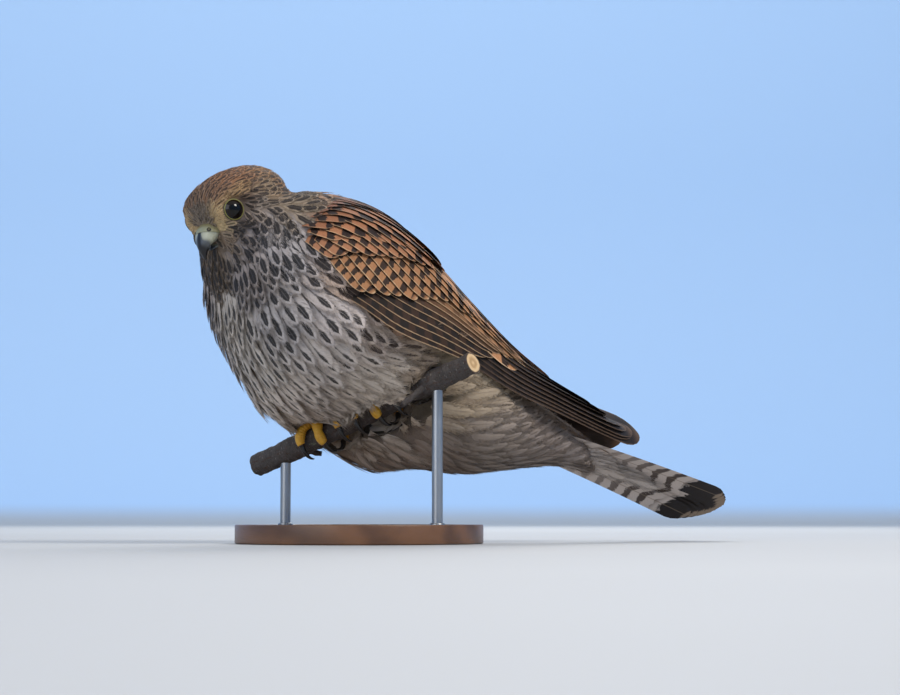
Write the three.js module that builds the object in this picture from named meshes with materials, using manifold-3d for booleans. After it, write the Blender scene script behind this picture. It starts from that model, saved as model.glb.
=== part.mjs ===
// A female common kestrel at rest on a cut length of branch, life size, on a plain display stand.
// Millimetres, +Z up. The bird faces -Y, its left side is +X. The origin is the middle of the base's underside.

import * as THREE from 'three';
import { mergeVertices } from 'three/addons/utils/BufferGeometryUtils.js';
import Module from 'manifold-3d';

const wasm = await Module();
wasm.setup();

// Driving sizes of the whole
const GRIP = new THREE.Vector3(0, 0, 66);
const GAP = 0.32;
const BODY_ROLL = degrees(6);
const ROLL_HEIGHT = 50;

// Torso with the neck at its front and the tail coverts at its rear. Each station is
// [back y, back z, belly y, belly z, half width], measured from the grip.
const TORSO = [
  [-64, 91, -83, 79, 14],
  [-53, 97, -79, 66, 28],
  [-38, 101, -74, 50, 37],
  [-18, 101, -68, 32, 43],
  [-2, 95, -57, 16, 46],
  [13, 82, -43, 5, 48],
  [27, 68, -27, -2, 47],
  [41, 53, -5, -10, 45],
  [55, 37, 21, -24, 40],
  [71, 21, 48, -31, 33],
  [88, 8, 72, -31, 25],
  [105, -1, 93, -28, 18],
  [123, -10, 116, -27, 12],
  [138, -19, 134, -31, 4],
];
const TORSO_AROUND = 24;
const TORSO_ALONG = 26;
const DRAPE = { slope: 0.23, curve: 0.015, from: 8, top: 34, back: 20 };
const NECK_CUT = { y: -61, z: 82, lean: degrees(-38) };
const BREAST_CUT = { y: -47, z: 72, lean: degrees(-42) };
const TAIL_CUT = { y: 82, z: -8, lean: degrees(-28) };

// Head, in its own frame: x left, y forward, z up, from the point between the eyes
const HEAD_AT = new THREE.Vector3(4, -78, 87);
const HEAD_YAW = degrees(11);
const HEAD_PITCH = degrees(35);
const HEAD_ROLL = degrees(2.3);
const HEAD_MIDDLE = new THREE.Vector3(0, -8.5, -4);
const HEAD_HALF = { side: 23, front: 18.5, back: 33, up: 20.5, down: 21, full: 2.9 };
const EYE_AT = new THREE.Vector3(13.1, 1.4, 0.9);
const EYE_RADIUS = 5.6;
const EYE_OPENING = 4.5;

// Bill stations in the head frame: [ridge forward, ridge up, edge forward, edge up, half width]
const UPPER_BILL = [
  [4.0, 0.0, 1.0, -8.0, 7.2],
  [8.0, 0.2, 5.0, -9.2, 7.6],
  [11.0, -0.4, 8.6, -9.4, 7.0],
  [13.8, -2.0, 11.0, -9.4, 6.0],
  [16.2, -4.6, 13.2, -9.8, 4.6],
  [17.8, -7.8, 14.9, -11.0, 3.1],
  [18.5, -11.0, 16.3, -12.2, 1.7],
  [18.4, -14.2, 17.9, -14.3, 0.35],
];
const LOWER_BILL = [
  [3.0, -9.6, 4.0, -11.8, 4.2],
  [6.5, -9.8, 6.5, -12.6, 5.0],
  [9.4, -10.0, 9.0, -12.6, 4.2],
  [11.6, -10.6, 11.2, -12.2, 2.8],
  [13.0, -11.5, 12.8, -11.9, 1.0],
];
const CERE_FRONT = 12.2;
const NOSTRIL_AT = new THREE.Vector3(5.6, 10.4, -4.2);
const NOSTRIL_RADIUS = 0.8;
const NOSTRIL_DEPTH = 1.1;

// Folded wing, as a sheet between a lower and an upper edge, each point [share, x, y, z] in the bird frame
const WING_LOWER = [
  [0.0, 43, -50, 54],
  [0.15, 52, -28, 40],
  [0.27, 54, -8, 28],
  [0.38, 51, 16, 21],
  [0.5, 43, 44, 14],
  [0.65, 32, 78, 6],
  [0.85, 17, 128, -5],
  [1.0, 8, 167, -13],
];
const WING_UPPER = [
  [0.0, 24, -50, 88],
  [0.15, 20, -30, 100],
  [0.27, 21, -5, 96],
  [0.38, 21, 18, 80],
  [0.5, 18, 44, 56],
  [0.65, 13, 80, 27],
  [0.85, 8, 130, 2],
  [1.0, 5, 168, -9],
];
const WING_BULGE = [
  [0.0, 7],
  [0.15, 12],
  [0.27, 13],
  [0.38, 12],
  [0.65, 5],
  [1.0, 0.8],
];
const WING_CORE = { end: 0.56, depth: 11, thin: 1.6, around: 10, along: 10 };

// Tiers of wing vanes: roots and tips as shares of the sheet, [along, across], from the first vane to the last
const WING_TIERS = [
  { name: 'primaries', count: 5, root: [[0.4, 0.14], [0.4, 0.42]], tip: [[0.985, 0.2], [0.84, 0.86]],
    width: [11, 12], lift: [-3.2, -1.2], layer: 0.35, steps: 4, bend: 0.5 },
  { name: 'secondaries', count: 4, root: [[0.34, 0.08], [0.34, 0.58]], tip: [[0.7, 0.09], [0.67, 0.6]],
    width: [16, 18], lift: [-2.2, -0.2], layer: 0.35, steps: 3, bend: 0 },
  { name: 'tertials', count: 2, root: [[0.34, 0.72], [0.32, 0.9]], tip: [[0.66, 0.76], [0.57, 0.95]],
    width: [20, 21], lift: [-1.6, 1.2], layer: 0.6, steps: 3, bend: 0 },
  { name: 'greater', count: 5, root: [[0.26, 0.08], [0.26, 0.86]], tip: [[0.43, 0.05], [0.42, 0.84]],
    width: [16, 18], lift: [-1.4, 1.4], layer: 0.12, steps: 3, bend: 0 },
  { name: 'median', count: 4, root: [[0.13, 0.12], [0.13, 0.84]], tip: [[0.28, 0.08], [0.29, 0.8]],
    width: [22, 24], lift: [-1.4, 2.2], layer: 0.12, steps: 3, bend: 0 },
  { name: 'scapulars', count: 3, root: [[0.08, 0.84], [0.22, 0.98]], tip: [[0.3, 0.86], [0.52, 1.04]],
    width: [24, 23], lift: [-1.0, 3.2], layer: 0.3, steps: 3, bend: 0 },
];
const VANE_THICK = 0.8;
const VANE_STEP = 1.15;
const VANE_SHINGLE = 0.55;

// Tail of twelve vanes in a nearly folded fan
const TAIL_ROOT = new THREE.Vector3(0, 66, -2);
const TAIL_TIP = new THREE.Vector3(0, 219, -49);
const TAIL_ROLL = degrees(18);
const TAIL_VANES = 12;
const TAIL_VANE_WIDTH = 17;
const TAIL_GRADE = 22;
const TAIL_ROOT_STEP = 0.9;
const TAIL_FAN = degrees(0.58);
const TAIL_LAYER = 0.5;
const TAIL_ARCH = 1.5;

// Perch and feet
const PERCH_RADIUS = 5.4;
const PERCH_AT = new THREE.Vector3(0, -2, -5.6);
const PERCH_ALONG = new THREE.Vector3(0.866, 0.36, 0.325).normalize();
const PERCH_ENDS = [-66, 72];
const PERCH_TWIGS = [
  { at: -42, turn: degrees(205), length: 15, radius: 1.5, lean: 0.8 },
  { at: 47, turn: degrees(330), length: 19, radius: 1.7, lean: -0.7 },
];
const FEET_APART = 17;
const TOE_RADIUS = 2.4;
const TOES = [
  { name: '1', side: 0, splay: 2, reach: -degrees(112), start: degrees(118) },
  { name: '2', side: -3, splay: -9, reach: degrees(118), start: degrees(84) },
  { name: '3', side: 0, splay: 0, reach: degrees(148), start: degrees(84) },
  { name: '4', side: 3, splay: 9, reach: degrees(118), start: degrees(84) },
];
const CLAW_LENGTH = 9.5;
const FOOT_ROOM = 16;
const TARSUS_RADIUS = 2.3;
const THIGH = { side: 21, y: 27, z: -5, slope: 0.3, half: [13, 21, 14], lean: degrees(28) };

// Stand
const BASE_RADIUS = 60;
const BASE_HEIGHT = 9;
const ROD_RADIUS = 2.6;
const RODS_AT = [-46, 50];

function degrees(value) {
  return (value * Math.PI) / 180;
}

function solid(geometry) {
  const bare = geometry.clone();
  for (const name of Object.keys(bare.attributes)) {
    if (name !== 'position') bare.deleteAttribute(name);
  }
  const merged = mergeVertices(bare, 1e-4);
  return new wasm.Manifold(new wasm.Mesh({
    numProp: 3,
    vertProperties: Float32Array.from(merged.attributes.position.array),
    triVerts: Uint32Array.from(merged.index.array),
  }));
}

function largest(manifold) {
  const bodies = manifold.decompose();
  bodies.sort((a, b) => b.volume() - a.volume());
  return bodies[0];
}

function join(solids) {
  return solids.reduce((all, one) => all.add(one));
}

function geometryOf(manifold) {
  const mesh = manifold.getMesh();
  const geometry = new THREE.BufferGeometry();
  geometry.setAttribute('position', new THREE.BufferAttribute(Float32Array.from(mesh.vertProperties), 3));
  geometry.setIndex(new THREE.BufferAttribute(Uint32Array.from(mesh.triVerts), 1));
  geometry.computeVertexNormals();
  return geometry;
}

// A closed skin of sphere topology, where place(turn, along) gives a point for each pair of shares
function skin(around, along, place) {
  const geometry = new THREE.SphereGeometry(1, around, along);
  const { position, uv } = geometry.attributes;
  for (let i = 0; i < position.count; i += 1) {
    const share = 1 - uv.getY(i);
    const turn = share < 1e-6 || share > 1 - 1e-6 ? 0 : uv.getX(i) % 1;
    const point = place(turn, share);
    position.setXYZ(i, point.x, point.y, point.z);
  }
  return outward(geometry);
}

function outward(geometry) {
  const made = solid(geometry);
  if (made.volume() > 0) return geometry;
  const index = geometry.index.array;
  for (let i = 0; i < index.length; i += 3) [index[i], index[i + 1]] = [index[i + 1], index[i]];
  return geometry;
}

// A smooth value through rows of [share, ...values] or, with no shares, through even steps
function through(rows, share, shared = true) {
  const last = rows.length - 1;
  const at = shared
    ? Math.max(0, Math.min(last - 1, rows.findIndex((row) => row[0] > share) - 1))
    : Math.min(last - 1, Math.floor(share * last));
  const from = shared && share >= rows[last][0] ? last - 1 : at;
  const local = shared
    ? (share - rows[from][0]) / (rows[from + 1][0] - rows[from][0])
    : share * last - from;
  const [a, b, c, d] = [from - 1, from, from + 1, from + 2].map((i) => rows[Math.max(0, Math.min(last, i))]);
  const first = shared ? 1 : 0;
  return b.slice(first).map((_, i) => {
    const k = i + first;
    const span = shared ? b[0] - c[0] : -1;
    const slopeB = (c[k] - a[k]) / (shared ? (c[0] - a[0]) : (from === 0 ? 1 : 2)) * -span;
    const slopeC = (d[k] - b[k]) / (shared ? (d[0] - b[0]) : (from + 1 === last ? 1 : 2)) * -span;
    const t = local;
    return b[k] * (2 * t ** 3 - 3 * t ** 2 + 1) + slopeB * (t ** 3 - 2 * t ** 2 + t)
      + c[k] * (3 * t ** 2 - 2 * t ** 3) + slopeC * (t ** 3 - t ** 2);
  });
}

// A body lofted between a ridge line and a keel line in its own middle plane, with a half width at each station
function loft(stations, around, along, grow = 0, full = 2.35) {
  return skin(around, along, (turn, share) => {
    const inner = Math.max(0, Math.min(1, (share * along - 1) / (along - 2)));
    const [ridgeY, ridgeZ, keelY, keelZ, half] = through(stations, inner, false);
    const cap = share < 1e-6 || share > 1 - 1e-6 ? 0 : 1;
    const angle = turn * 2 * Math.PI;
    const across = Math.sign(Math.sin(angle)) * Math.abs(Math.sin(angle)) ** (2 / full);
    const deep = Math.sign(Math.cos(angle)) * Math.abs(Math.cos(angle)) ** (2 / full);
    const height = Math.hypot(ridgeY - keelY, ridgeZ - keelZ);
    const reach = cap * (1 + (2 * grow) / height) * 0.5;
    const end = inner < 1e-6 ? -1 : Number(inner > 1 - 1e-6);
    const next = through(stations, inner - end * 0.01, false);
    const onward = new THREE.Vector2(ridgeY + keelY - next[0] - next[2], ridgeZ + keelZ - next[1] - next[3]);
    const longer = onward.normalize().multiplyScalar(Math.abs(end) * grow);
    return new THREE.Vector3(
      cap * (half + grow) * across,
      longer.x + (ridgeY + keelY) / 2 + (ridgeY - keelY) * deep * reach,
      longer.y + (ridgeZ + keelZ) / 2 + (ridgeZ - keelZ) * deep * reach,
    );
  });
}

function place(geometry, matrix) {
  return outward(geometry.applyMatrix4(matrix));
}

// The bird frame, leaning to its right about a level axis through the body, then set on the grip
const birdMatrix = new THREE.Matrix4()
  .makeTranslation(GRIP.x, GRIP.y, GRIP.z + ROLL_HEIGHT)
  .multiply(new THREE.Matrix4().makeRotationY(-BODY_ROLL))
  .multiply(new THREE.Matrix4().makeTranslation(0, 0, -ROLL_HEIGHT));
const mirror = new THREE.Matrix4().makeScale(-1, 1, 1);

// The head frame's forward axis is its y, so it is turned half round to face -Y
const headMatrix = birdMatrix.clone()
  .multiply(new THREE.Matrix4().makeTranslation(HEAD_AT.x, HEAD_AT.y, HEAD_AT.z))
  .multiply(new THREE.Matrix4().makeRotationZ(HEAD_YAW))
  .multiply(new THREE.Matrix4().makeRotationX(HEAD_PITCH))
  .multiply(new THREE.Matrix4().makeRotationY(HEAD_ROLL))
  .multiply(new THREE.Matrix4().makeScale(1, -1, 1));

// The fluffed belly follows the slope of the perch it rests on
function torsoShape(grow = 0) {
  const geometry = loft(TORSO, TORSO_AROUND, TORSO_ALONG, grow);
  const { position } = geometry.attributes;
  for (let i = 0; i < position.count; i += 1) {
    const [x, y, z] = [position.getX(i), position.getY(i), position.getZ(i)];
    const low = ease((DRAPE.top - z) / DRAPE.top) * ease((DRAPE.back + 25 - y) / 25);
    position.setZ(i, z + low * (DRAPE.slope * x - DRAPE.curve * Math.max(0, -x - DRAPE.from) ** 2));
  }
  return solid(place(geometry, birdMatrix));
}

function ease(value) {
  const t = Math.max(0, Math.min(1, value));
  return t * t * (3 - 2 * t);
}

// A cranium with a steep forehead, full cheeks, and a brow over each eye
function headShape(grow = 0) {
  const around = 24;
  const along = 16;
  const geometry = skin(around, along, (turn, share) => {
    const tilt = share * Math.PI;
    const angle = turn * 2 * Math.PI;
    const way = new THREE.Vector3(Math.sin(tilt) * Math.sin(angle), Math.cos(tilt), Math.sin(tilt) * Math.cos(angle));
    const power = way.y > 0 ? HEAD_HALF.full : 2;
    const sum = Math.abs(way.y) ** power + Math.hypot(way.x, way.z) ** power;
    const blunt = way.clone().multiplyScalar(sum ** (-1 / power));
    const half = new THREE.Vector3(
      HEAD_HALF.side,
      way.y > 0 ? HEAD_HALF.front : HEAD_HALF.back,
      way.z > 0 ? HEAD_HALF.up : HEAD_HALF.down,
    );
    const point = blunt.multiply(half).add(HEAD_MIDDLE);
    const socket = Math.hypot(Math.abs(point.x) - EYE_AT.x - 5, point.y - EYE_AT.y - 3, point.z - EYE_AT.z);
    const brow = Math.hypot(Math.abs(point.x) - 14, (point.y - 4) * 0.6, (point.z - 7.5) * 1.2);
    const lore = Math.hypot(Math.abs(point.x) - 10, point.y - 8, (point.z + 4) * 0.8);
    const push = grow - 2.9 * Math.exp(-((socket / 6.5) ** 2)) + 1.3 * Math.exp(-((brow / 6) ** 2))
      - 0.7 * Math.exp(-((lore / 5) ** 2));
    return point.add(way.clone().divide(half).normalize().multiplyScalar(push));
  });
  return solid(place(geometry, headMatrix));
}

function sphereAt(center, radius, matrix, around = 14, along = 9) {
  const geometry = new THREE.SphereGeometry(radius, around, along);
  geometry.translate(center.x, center.y, center.z);
  return solid(place(geometry, matrix));
}

// A halfspace as a big block whose face leans forward from the vertical, seen from the side
function frontBlock({ y, z, lean }, shift) {
  const size = 400;
  const block = new THREE.BoxGeometry(size, size, size);
  block.translate(0, -size / 2, 0);
  block.rotateX(lean);
  block.translate(0, y + Math.cos(lean) * shift, z + Math.sin(lean) * shift);
  return solid(place(block, birdMatrix));
}

function billPart(stations, grow = 0) {
  const around = 12;
  const along = 10;
  return solid(place(loft(stations, around, along, grow, 2.0), headMatrix));
}

function sheetPoint(along, across) {
  const low = new THREE.Vector3(...through(WING_LOWER, along));
  const high = new THREE.Vector3(...through(WING_UPPER, along));
  const [bulge] = through(WING_BULGE, along);
  const point = low.clone().lerp(high, across);
  const out = new THREE.Vector3(1, 0, 0.45).normalize();
  return point.addScaledVector(out, bulge * Math.sin(Math.PI * Math.max(-0.15, Math.min(1.15, across))));
}

function sheetNormal(along, across) {
  const step = 0.01;
  const a = Math.min(along, 1 - step);
  const lengthwise = sheetPoint(a + step, across).sub(sheetPoint(a - step, across));
  const crosswise = sheetPoint(a, across + step).sub(sheetPoint(a, across - step));
  return lengthwise.cross(crosswise).normalize();
}

// A thin closed blade along a path of {point, side, up}, with the same diagonals on both faces
function blade(path, widths, thick, keel = 0, columns = 3) {
  const points = [];
  const index = [];
  path.forEach(({ point, side, up }, i) => {
    for (const face of [1, -1]) {
      for (let k = 0; k < columns; k += 1) {
        const across = (2 * k) / (columns - 1) - 1;
        const lift = (face * thick[i]) / 2 + keel * (1 - Math.abs(across));
        points.push(point.clone().addScaledVector(side, (across * widths[i]) / 2).addScaledVector(up, lift));
      }
    }
  });
  const at = (i, face, k) => i * 2 * columns + face * columns + k;
  for (let i = 0; i < path.length - 1; i += 1) {
    for (let k = 0; k < columns - 1; k += 1) {
      const [a, b, c, d] = [at(i, 0, k), at(i, 0, k + 1), at(i + 1, 0, k + 1), at(i + 1, 0, k)];
      index.push(a, b, c, a, c, d);
      const [e, f, g, h] = [at(i, 1, k), at(i, 1, k + 1), at(i + 1, 1, k + 1), at(i + 1, 1, k)];
      index.push(e, g, f, e, h, g);
    }
    for (const [k, flip] of [[0, 1], [columns - 1, 0]]) {
      const [a, b, c, d] = [at(i, 0, k), at(i, 1, k), at(i + 1, 1, k), at(i + 1, 0, k)];
      if (flip) index.push(a, c, b, a, d, c);
      else index.push(a, b, c, a, c, d);
    }
  }
  for (const [i, flip] of [[0, 0], [path.length - 1, 1]]) {
    for (let k = 0; k < columns - 1; k += 1) {
      const [a, b, c, d] = [at(i, 0, k), at(i, 1, k), at(i, 1, k + 1), at(i, 0, k + 1)];
      if (flip) index.push(a, c, b, a, d, c);
      else index.push(a, b, c, a, c, d);
    }
  }
  const geometry = new THREE.BufferGeometry();
  geometry.setAttribute('position', new THREE.Float32BufferAttribute(points.flatMap((p) => [p.x, p.y, p.z]), 3));
  geometry.setIndex(index);
  return outward(geometry);
}

// Shares along a vane, closer together towards its round tip, and its width there
function vaneShares(steps) {
  const shares = Array.from({ length: steps + 1 }, (_, i) => 1 - (1 - i / steps) ** 1.5);
  shares[steps - 1] = 0.93;
  return shares;
}

function vaneWidth(share, rounding = 0.25) {
  const into = Math.max(0, (share - 1 + rounding) / rounding);
  return Math.sqrt(Math.max(0.05, 1 - into ** 2 * 0.96)) * (0.72 + 0.28 * Math.min(1, share * 3));
}

// How far apart the middles of a tier's vanes lie at one place along the wing, so that each clears the next
function tierSpacing(tier, along) {
  const height = sheetPoint(along, 1).distanceTo(sheetPoint(along, 0));
  const share = (tier.tip[1][1] - tier.tip[0][1]) / (tier.count - 1);
  return Math.max(5, height * share);
}

function wingVane(tier, number) {
  const share = tier.count === 1 ? 0 : number / (tier.count - 1);
  const mix = ([a, b]) => a.map((value, i) => value + (b[i] - value) * share);
  const [root, tip] = [mix(tier.root), mix(tier.tip)];
  const width = tier.width[0] + (tier.width[1] - tier.width[0]) * share;
  const shares = vaneShares(tier.steps);
  const spot = (s) => [
    root[0] + (tip[0] - root[0]) * s,
    root[1] + (tip[1] - root[1]) * (s ** (1 + tier.bend)),
  ];
  const path = shares.map((s) => {
    const [along, across] = spot(s);
    const up = sheetNormal(along, across);
    const ahead = sheetPoint(...spot(Math.min(1, s + 0.02))).sub(sheetPoint(...spot(Math.max(0, s - 0.02))));
    const side = up.clone().cross(ahead.normalize()).normalize();
    const lift = tier.lift[0] + (tier.lift[1] - tier.lift[0]) * Math.sqrt(s) + tier.layer * number;
    const point = sheetPoint(along, across).addScaledVector(up, lift);
    const shingled = side.clone().addScaledVector(up, -VANE_STEP / tierSpacing(tier, along)).normalize();
    return { point, side: shingled, up };
  });
  const widths = shares.map((s) => width * vaneWidth(s));
  const thick = shares.map((s) => VANE_THICK * (1 - 0.45 * s));
  return solid(blade(path, widths, thick, 0.25, 2));
}

// The flesh of the folded wing under its vanes, thick at the wrist and thin where the blades leave it
function wingCore() {
  const { end, depth, thin, around, along } = WING_CORE;
  return solid(skin(around, along, (turn, share) => {
    const at = end * (0.5 - 0.5 * Math.cos(Math.PI * share));
    const rim = Math.sqrt(Math.max(0, Math.sin(Math.PI * share)));
    const angle = turn * 2 * Math.PI;
    const across = 0.5 + 0.47 * Math.cos(angle) * rim;
    const under = Math.sin(angle);
    const deep = thin + (depth - thin) * Math.max(0, 1 - (at / end) ** 2);
    const drop = under > 0 ? 0.2 + 0.9 * (1 - under) * rim : deep * rim * -under + 1.1;
    return sheetPoint(at, across).addScaledVector(sheetNormal(Math.max(0.02, at), across), -drop);
  }));
}

function wingShape() {
  const vanes = WING_TIERS.flatMap((tier) => Array.from({ length: tier.count }, (_, i) => wingVane(tier, i)));
  return join([wingCore(), ...vanes]);
}

function moved(manifold, matrix) {
  return solid(place(geometryOf(manifold), matrix));
}

function tailShape(grow = 0) {
  const along = TAIL_TIP.clone().sub(TAIL_ROOT);
  const length = along.length();
  along.normalize();
  const side = new THREE.Vector3(Math.cos(TAIL_ROLL), 0, Math.sin(TAIL_ROLL));
  side.addScaledVector(along, -side.dot(along)).normalize();
  const up = side.clone().cross(along).normalize();
  if (up.z < 0) up.negate();
  const middle = (TAIL_VANES - 1) / 2;
  const vanes = Array.from({ length: TAIL_VANES }, (_, i) => {
    const out = i - middle;
    const rank = Math.abs(out) - 0.5;
    const fan = out * TAIL_FAN;
    const way = along.clone().multiplyScalar(Math.cos(fan)).addScaledVector(side, Math.sin(fan));
    const across = side.clone().multiplyScalar(Math.cos(fan)).addScaledVector(along, -Math.sin(fan));
    const reach = length - TAIL_GRADE * (rank / middle) ** 1.6;
    const tilt = (-Math.sign(out) * 2 * VANE_SHINGLE) / TAIL_VANE_WIDTH;
    const shares = vaneShares(4);
    const path = shares.map((s) => ({
      point: TAIL_ROOT.clone()
        .addScaledVector(side, out * TAIL_ROOT_STEP)
        .addScaledVector(way, reach * s)
        .addScaledVector(up, TAIL_ARCH * Math.sin(Math.PI * s) - rank * TAIL_LAYER),
      side: across.clone().addScaledVector(up, tilt).normalize(),
      up,
    }));
    const widths = shares.map((s) => 2 * grow + TAIL_VANE_WIDTH * vaneWidth(s, 0.12) * (0.62 + 0.38 * s));
    return solid(place(blade(path, widths, shares.map((s) => 2 * grow + 0.9 - 0.35 * s), 0.25, 2), birdMatrix));
  });
  return join(vanes);
}

// A tube of round sections along stations of {center, along, radius, flat}, with flat closed ends
function tube(stations, around) {
  const rows = [stations[0], ...stations, stations[stations.length - 1]];
  return skin(around, rows.length - 1, (turn, share) => {
    const row = Math.round(share * (rows.length - 1));
    const { center, along, up, radius } = rows[row];
    const end = row === 0 || row === rows.length - 1 ? 0 : 1;
    const side = along.clone().cross(up).normalize();
    const rise = side.clone().cross(along).normalize();
    const angle = turn * 2 * Math.PI;
    return center.clone()
      .addScaledVector(side, Math.cos(angle) * radius * end)
      .addScaledVector(rise, Math.sin(angle) * radius * end);
  });
}

function perchPoint(at) {
  const bow = 1.6 * Math.sin((at - 8) / 24);
  return GRIP.clone().add(PERCH_AT).addScaledVector(PERCH_ALONG, at).add(new THREE.Vector3(0, bow * 0.5, bow * 0.4));
}

function perchShape(grow = 0) {
  const [from, to] = PERCH_ENDS;
  const steps = 12;
  const stations = Array.from({ length: steps + 1 }, (_, i) => {
    const at = from + ((to - from) * i) / steps;
    const knot = 0.5 * Math.exp(-(((at + 42) / 5) ** 2)) + 0.6 * Math.exp(-(((at - 47) / 5) ** 2));
    return {
      center: perchPoint(at),
      along: perchPoint(at + 1).sub(perchPoint(at - 1)).normalize(),
      up: new THREE.Vector3(0, 0, 1),
      radius: PERCH_RADIUS + grow + knot + 0.12 * Math.sin(at * 0.9) - at * 0.004,
    };
  });
  const twigs = PERCH_TWIGS.map((twig) => {
    const out = perchForward().applyAxisAngle(PERCH_ALONG, -twig.turn).addScaledVector(PERCH_ALONG, twig.lean).normalize();
    const along = [0, 0.5, 1].map((s) => ({
      center: perchPoint(twig.at).addScaledVector(out, s * twig.length),
      along: out,
      up: PERCH_ALONG,
      radius: (twig.radius + grow) * (1.25 - 0.45 * s),
    }));
    return solid(tube(along, 6));
  });
  return join([solid(tube(stations, 10)), ...twigs]);
}

function perchForward() {
  return new THREE.Vector3(0, 0, 1).cross(PERCH_ALONG).negate().normalize().multiplyScalar(1);
}

// A toe wraps round the perch in the plane across it, drifting sideways to its splay
function toePoint(foot, toe, share, radius) {
  const forward = perchForward();
  const rise = forward.clone().cross(PERCH_ALONG).normalize();
  if (rise.z < 0) rise.negate();
  const angle = toe.start - toe.reach * share;
  const around = forward.multiplyScalar(Math.cos(angle)).addScaledVector(rise, Math.sin(angle));
  const drift = toe.side + toe.splay * Math.sin((Math.PI / 2) * Math.min(1, share * 1.2));
  return perchPoint(foot + drift).addScaledVector(around, radius);
}

function toeStations(foot, toe, from, to, steps, radiusAt, reach) {
  return Array.from({ length: steps + 1 }, (_, i) => {
    const share = from + ((to - from) * i) / steps;
    const center = toePoint(foot, toe, share, reach(share));
    const along = toePoint(foot, toe, share + 0.01, reach(share + 0.01))
      .sub(toePoint(foot, toe, share - 0.01, reach(share - 0.01))).normalize();
    return { center, along, up: PERCH_ALONG, radius: radiusAt(i / steps, share) };
  });
}

function toeReach() {
  return PERCH_RADIUS + 0.9 + TOE_RADIUS;
}

function footShape(foot, grow = 0) {
  const [steps, sides] = [7, 6];
  const parts = TOES.map((toe) => {
    const joints = toe.name === '3' ? 3 : 2;
    const bare = solid(tube(toeStations(foot, toe, 0, 0.86, steps, (s) => {
      const pad = 0.2 * Math.abs(Math.sin(Math.PI * joints * s));
      return grow + TOE_RADIUS * (1.08 - 0.26 * s + pad) - 0.1;
    }, toeReach), sides));
    return bare;
  });
  const pad = new THREE.SphereGeometry(4.4 + grow, 10, 7);
  const ankle = anklePoint(foot);
  pad.translate(ankle.x, ankle.y, ankle.z);
  return join([tarsusShape(foot, grow), solid(pad), ...parts]);
}

function anklePoint(foot) {
  return toePoint(foot, { start: degrees(96), reach: 0, side: 0, splay: 0 }, 0, toeReach() + 0.6);
}

function tarsusShape(foot, grow = 0) {
  const ankle = anklePoint(foot);
  const knee = ankle.clone().add(new THREE.Vector3(-Math.sign(foot) * 1, 5, 13));
  const along = knee.clone().sub(ankle).normalize();
  return solid(tube([0, 0.3, 1].map((s) => ({
    center: ankle.clone().lerp(knee, s),
    along,
    up: PERCH_ALONG,
    radius: grow + TARSUS_RADIUS * (1.45 - 0.45 * Math.min(1, s * 3)),
  })), 7));
}

function clawShape(foot, toe, grow = 0) {
  const turn = (CLAW_LENGTH / toeReach()) / Math.abs(toe.reach);
  const start = 0.905;
  return solid(tube(toeStations(foot, toe, start, start + turn, 5,
    (s) => grow + 1.55 * (1 - s) ** 0.8 + 0.22, (s) => toeReach() + 1.4 * Math.sin(Math.min(1, (s - start) / turn) * 2.4)), 6));
}

// The room in the belly for one foot: a short wide ring round the perch
function footRoom(foot) {
  const radius = (toeReach() + TOE_RADIUS * 1.3 + GAP + 0.3) / Math.cos(Math.PI / 14);
  const reach = FOOT_ROOM;
  const stations = [-reach, 0, reach].map((at) => ({
    center: perchPoint(foot + at),
    along: PERCH_ALONG,
    up: new THREE.Vector3(0, 0, 1),
    radius,
  }));
  const pad = new THREE.SphereGeometry(4.4 + 4 * GAP, 10, 7);
  const ankle = anklePoint(foot);
  pad.translate(ankle.x, ankle.y, ankle.z);
  return join([solid(tube(stations, 14)), solid(pad), tarsusShape(foot, 3 * GAP)]);
}

// The feathered thigh, a lobe of the belly behind each foot
function thighShape(foot, grow = 0) {
  const geometry = new THREE.SphereGeometry(1, 14, 10);
  const { side, y, z, slope, half, lean } = THIGH;
  geometry.scale(half[0] + grow, half[1] + grow, half[2] + grow);
  geometry.rotateX(lean);
  geometry.translate(Math.sign(foot) * side, y, z + Math.sign(foot) * side * slope);
  return solid(place(geometry, birdMatrix));
}

function rodShape(at) {
  const top = perchPoint(at);
  const geometry = new THREE.CylinderGeometry(ROD_RADIUS, ROD_RADIUS, top.z - BASE_HEIGHT - GAP, 18);
  geometry.rotateX(Math.PI / 2);
  geometry.translate(top.x, top.y, (top.z + BASE_HEIGHT + GAP) / 2);
  return solid(outward(geometry));
}

function baseShape() {
  const edge = 1.5;
  const profile = [[0, 0], [BASE_RADIUS - edge, 0], [BASE_RADIUS, edge], [BASE_RADIUS, BASE_HEIGHT - edge],
    [BASE_RADIUS - edge, BASE_HEIGHT], [0, BASE_HEIGHT]];
  const geometry = new THREE.LatheGeometry(profile.map(([x, y]) => new THREE.Vector2(x, y)), 32);
  geometry.rotateX(Math.PI / 2);
  return solid(outward(geometry));
}

const COLOURS = {
  back: 0xa8663a, breast: 0xd9cfc0, crown: 0xa07a55, flight: 0x4a3a30, tail: 0xb99f86, yellow: 0xd9a520,
  cere: 0xc9b84a, horn: 0x6d7880, black: 0x16130f, eye: 0x120c08, bark: 0x4b4440, base: 0x6b4a30, rod: 0x8a8d90,
};
const kestrel = new THREE.Group();

function add(name, manifold, colour, roughness = 0.8, metalness = 0) {
  const material = new THREE.MeshStandardMaterial({ color: colour, roughness, metalness });
  const mesh = new THREE.Mesh(geometryOf(largest(manifold)), material);
  mesh.name = name;
  kestrel.add(mesh);
}

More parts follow.
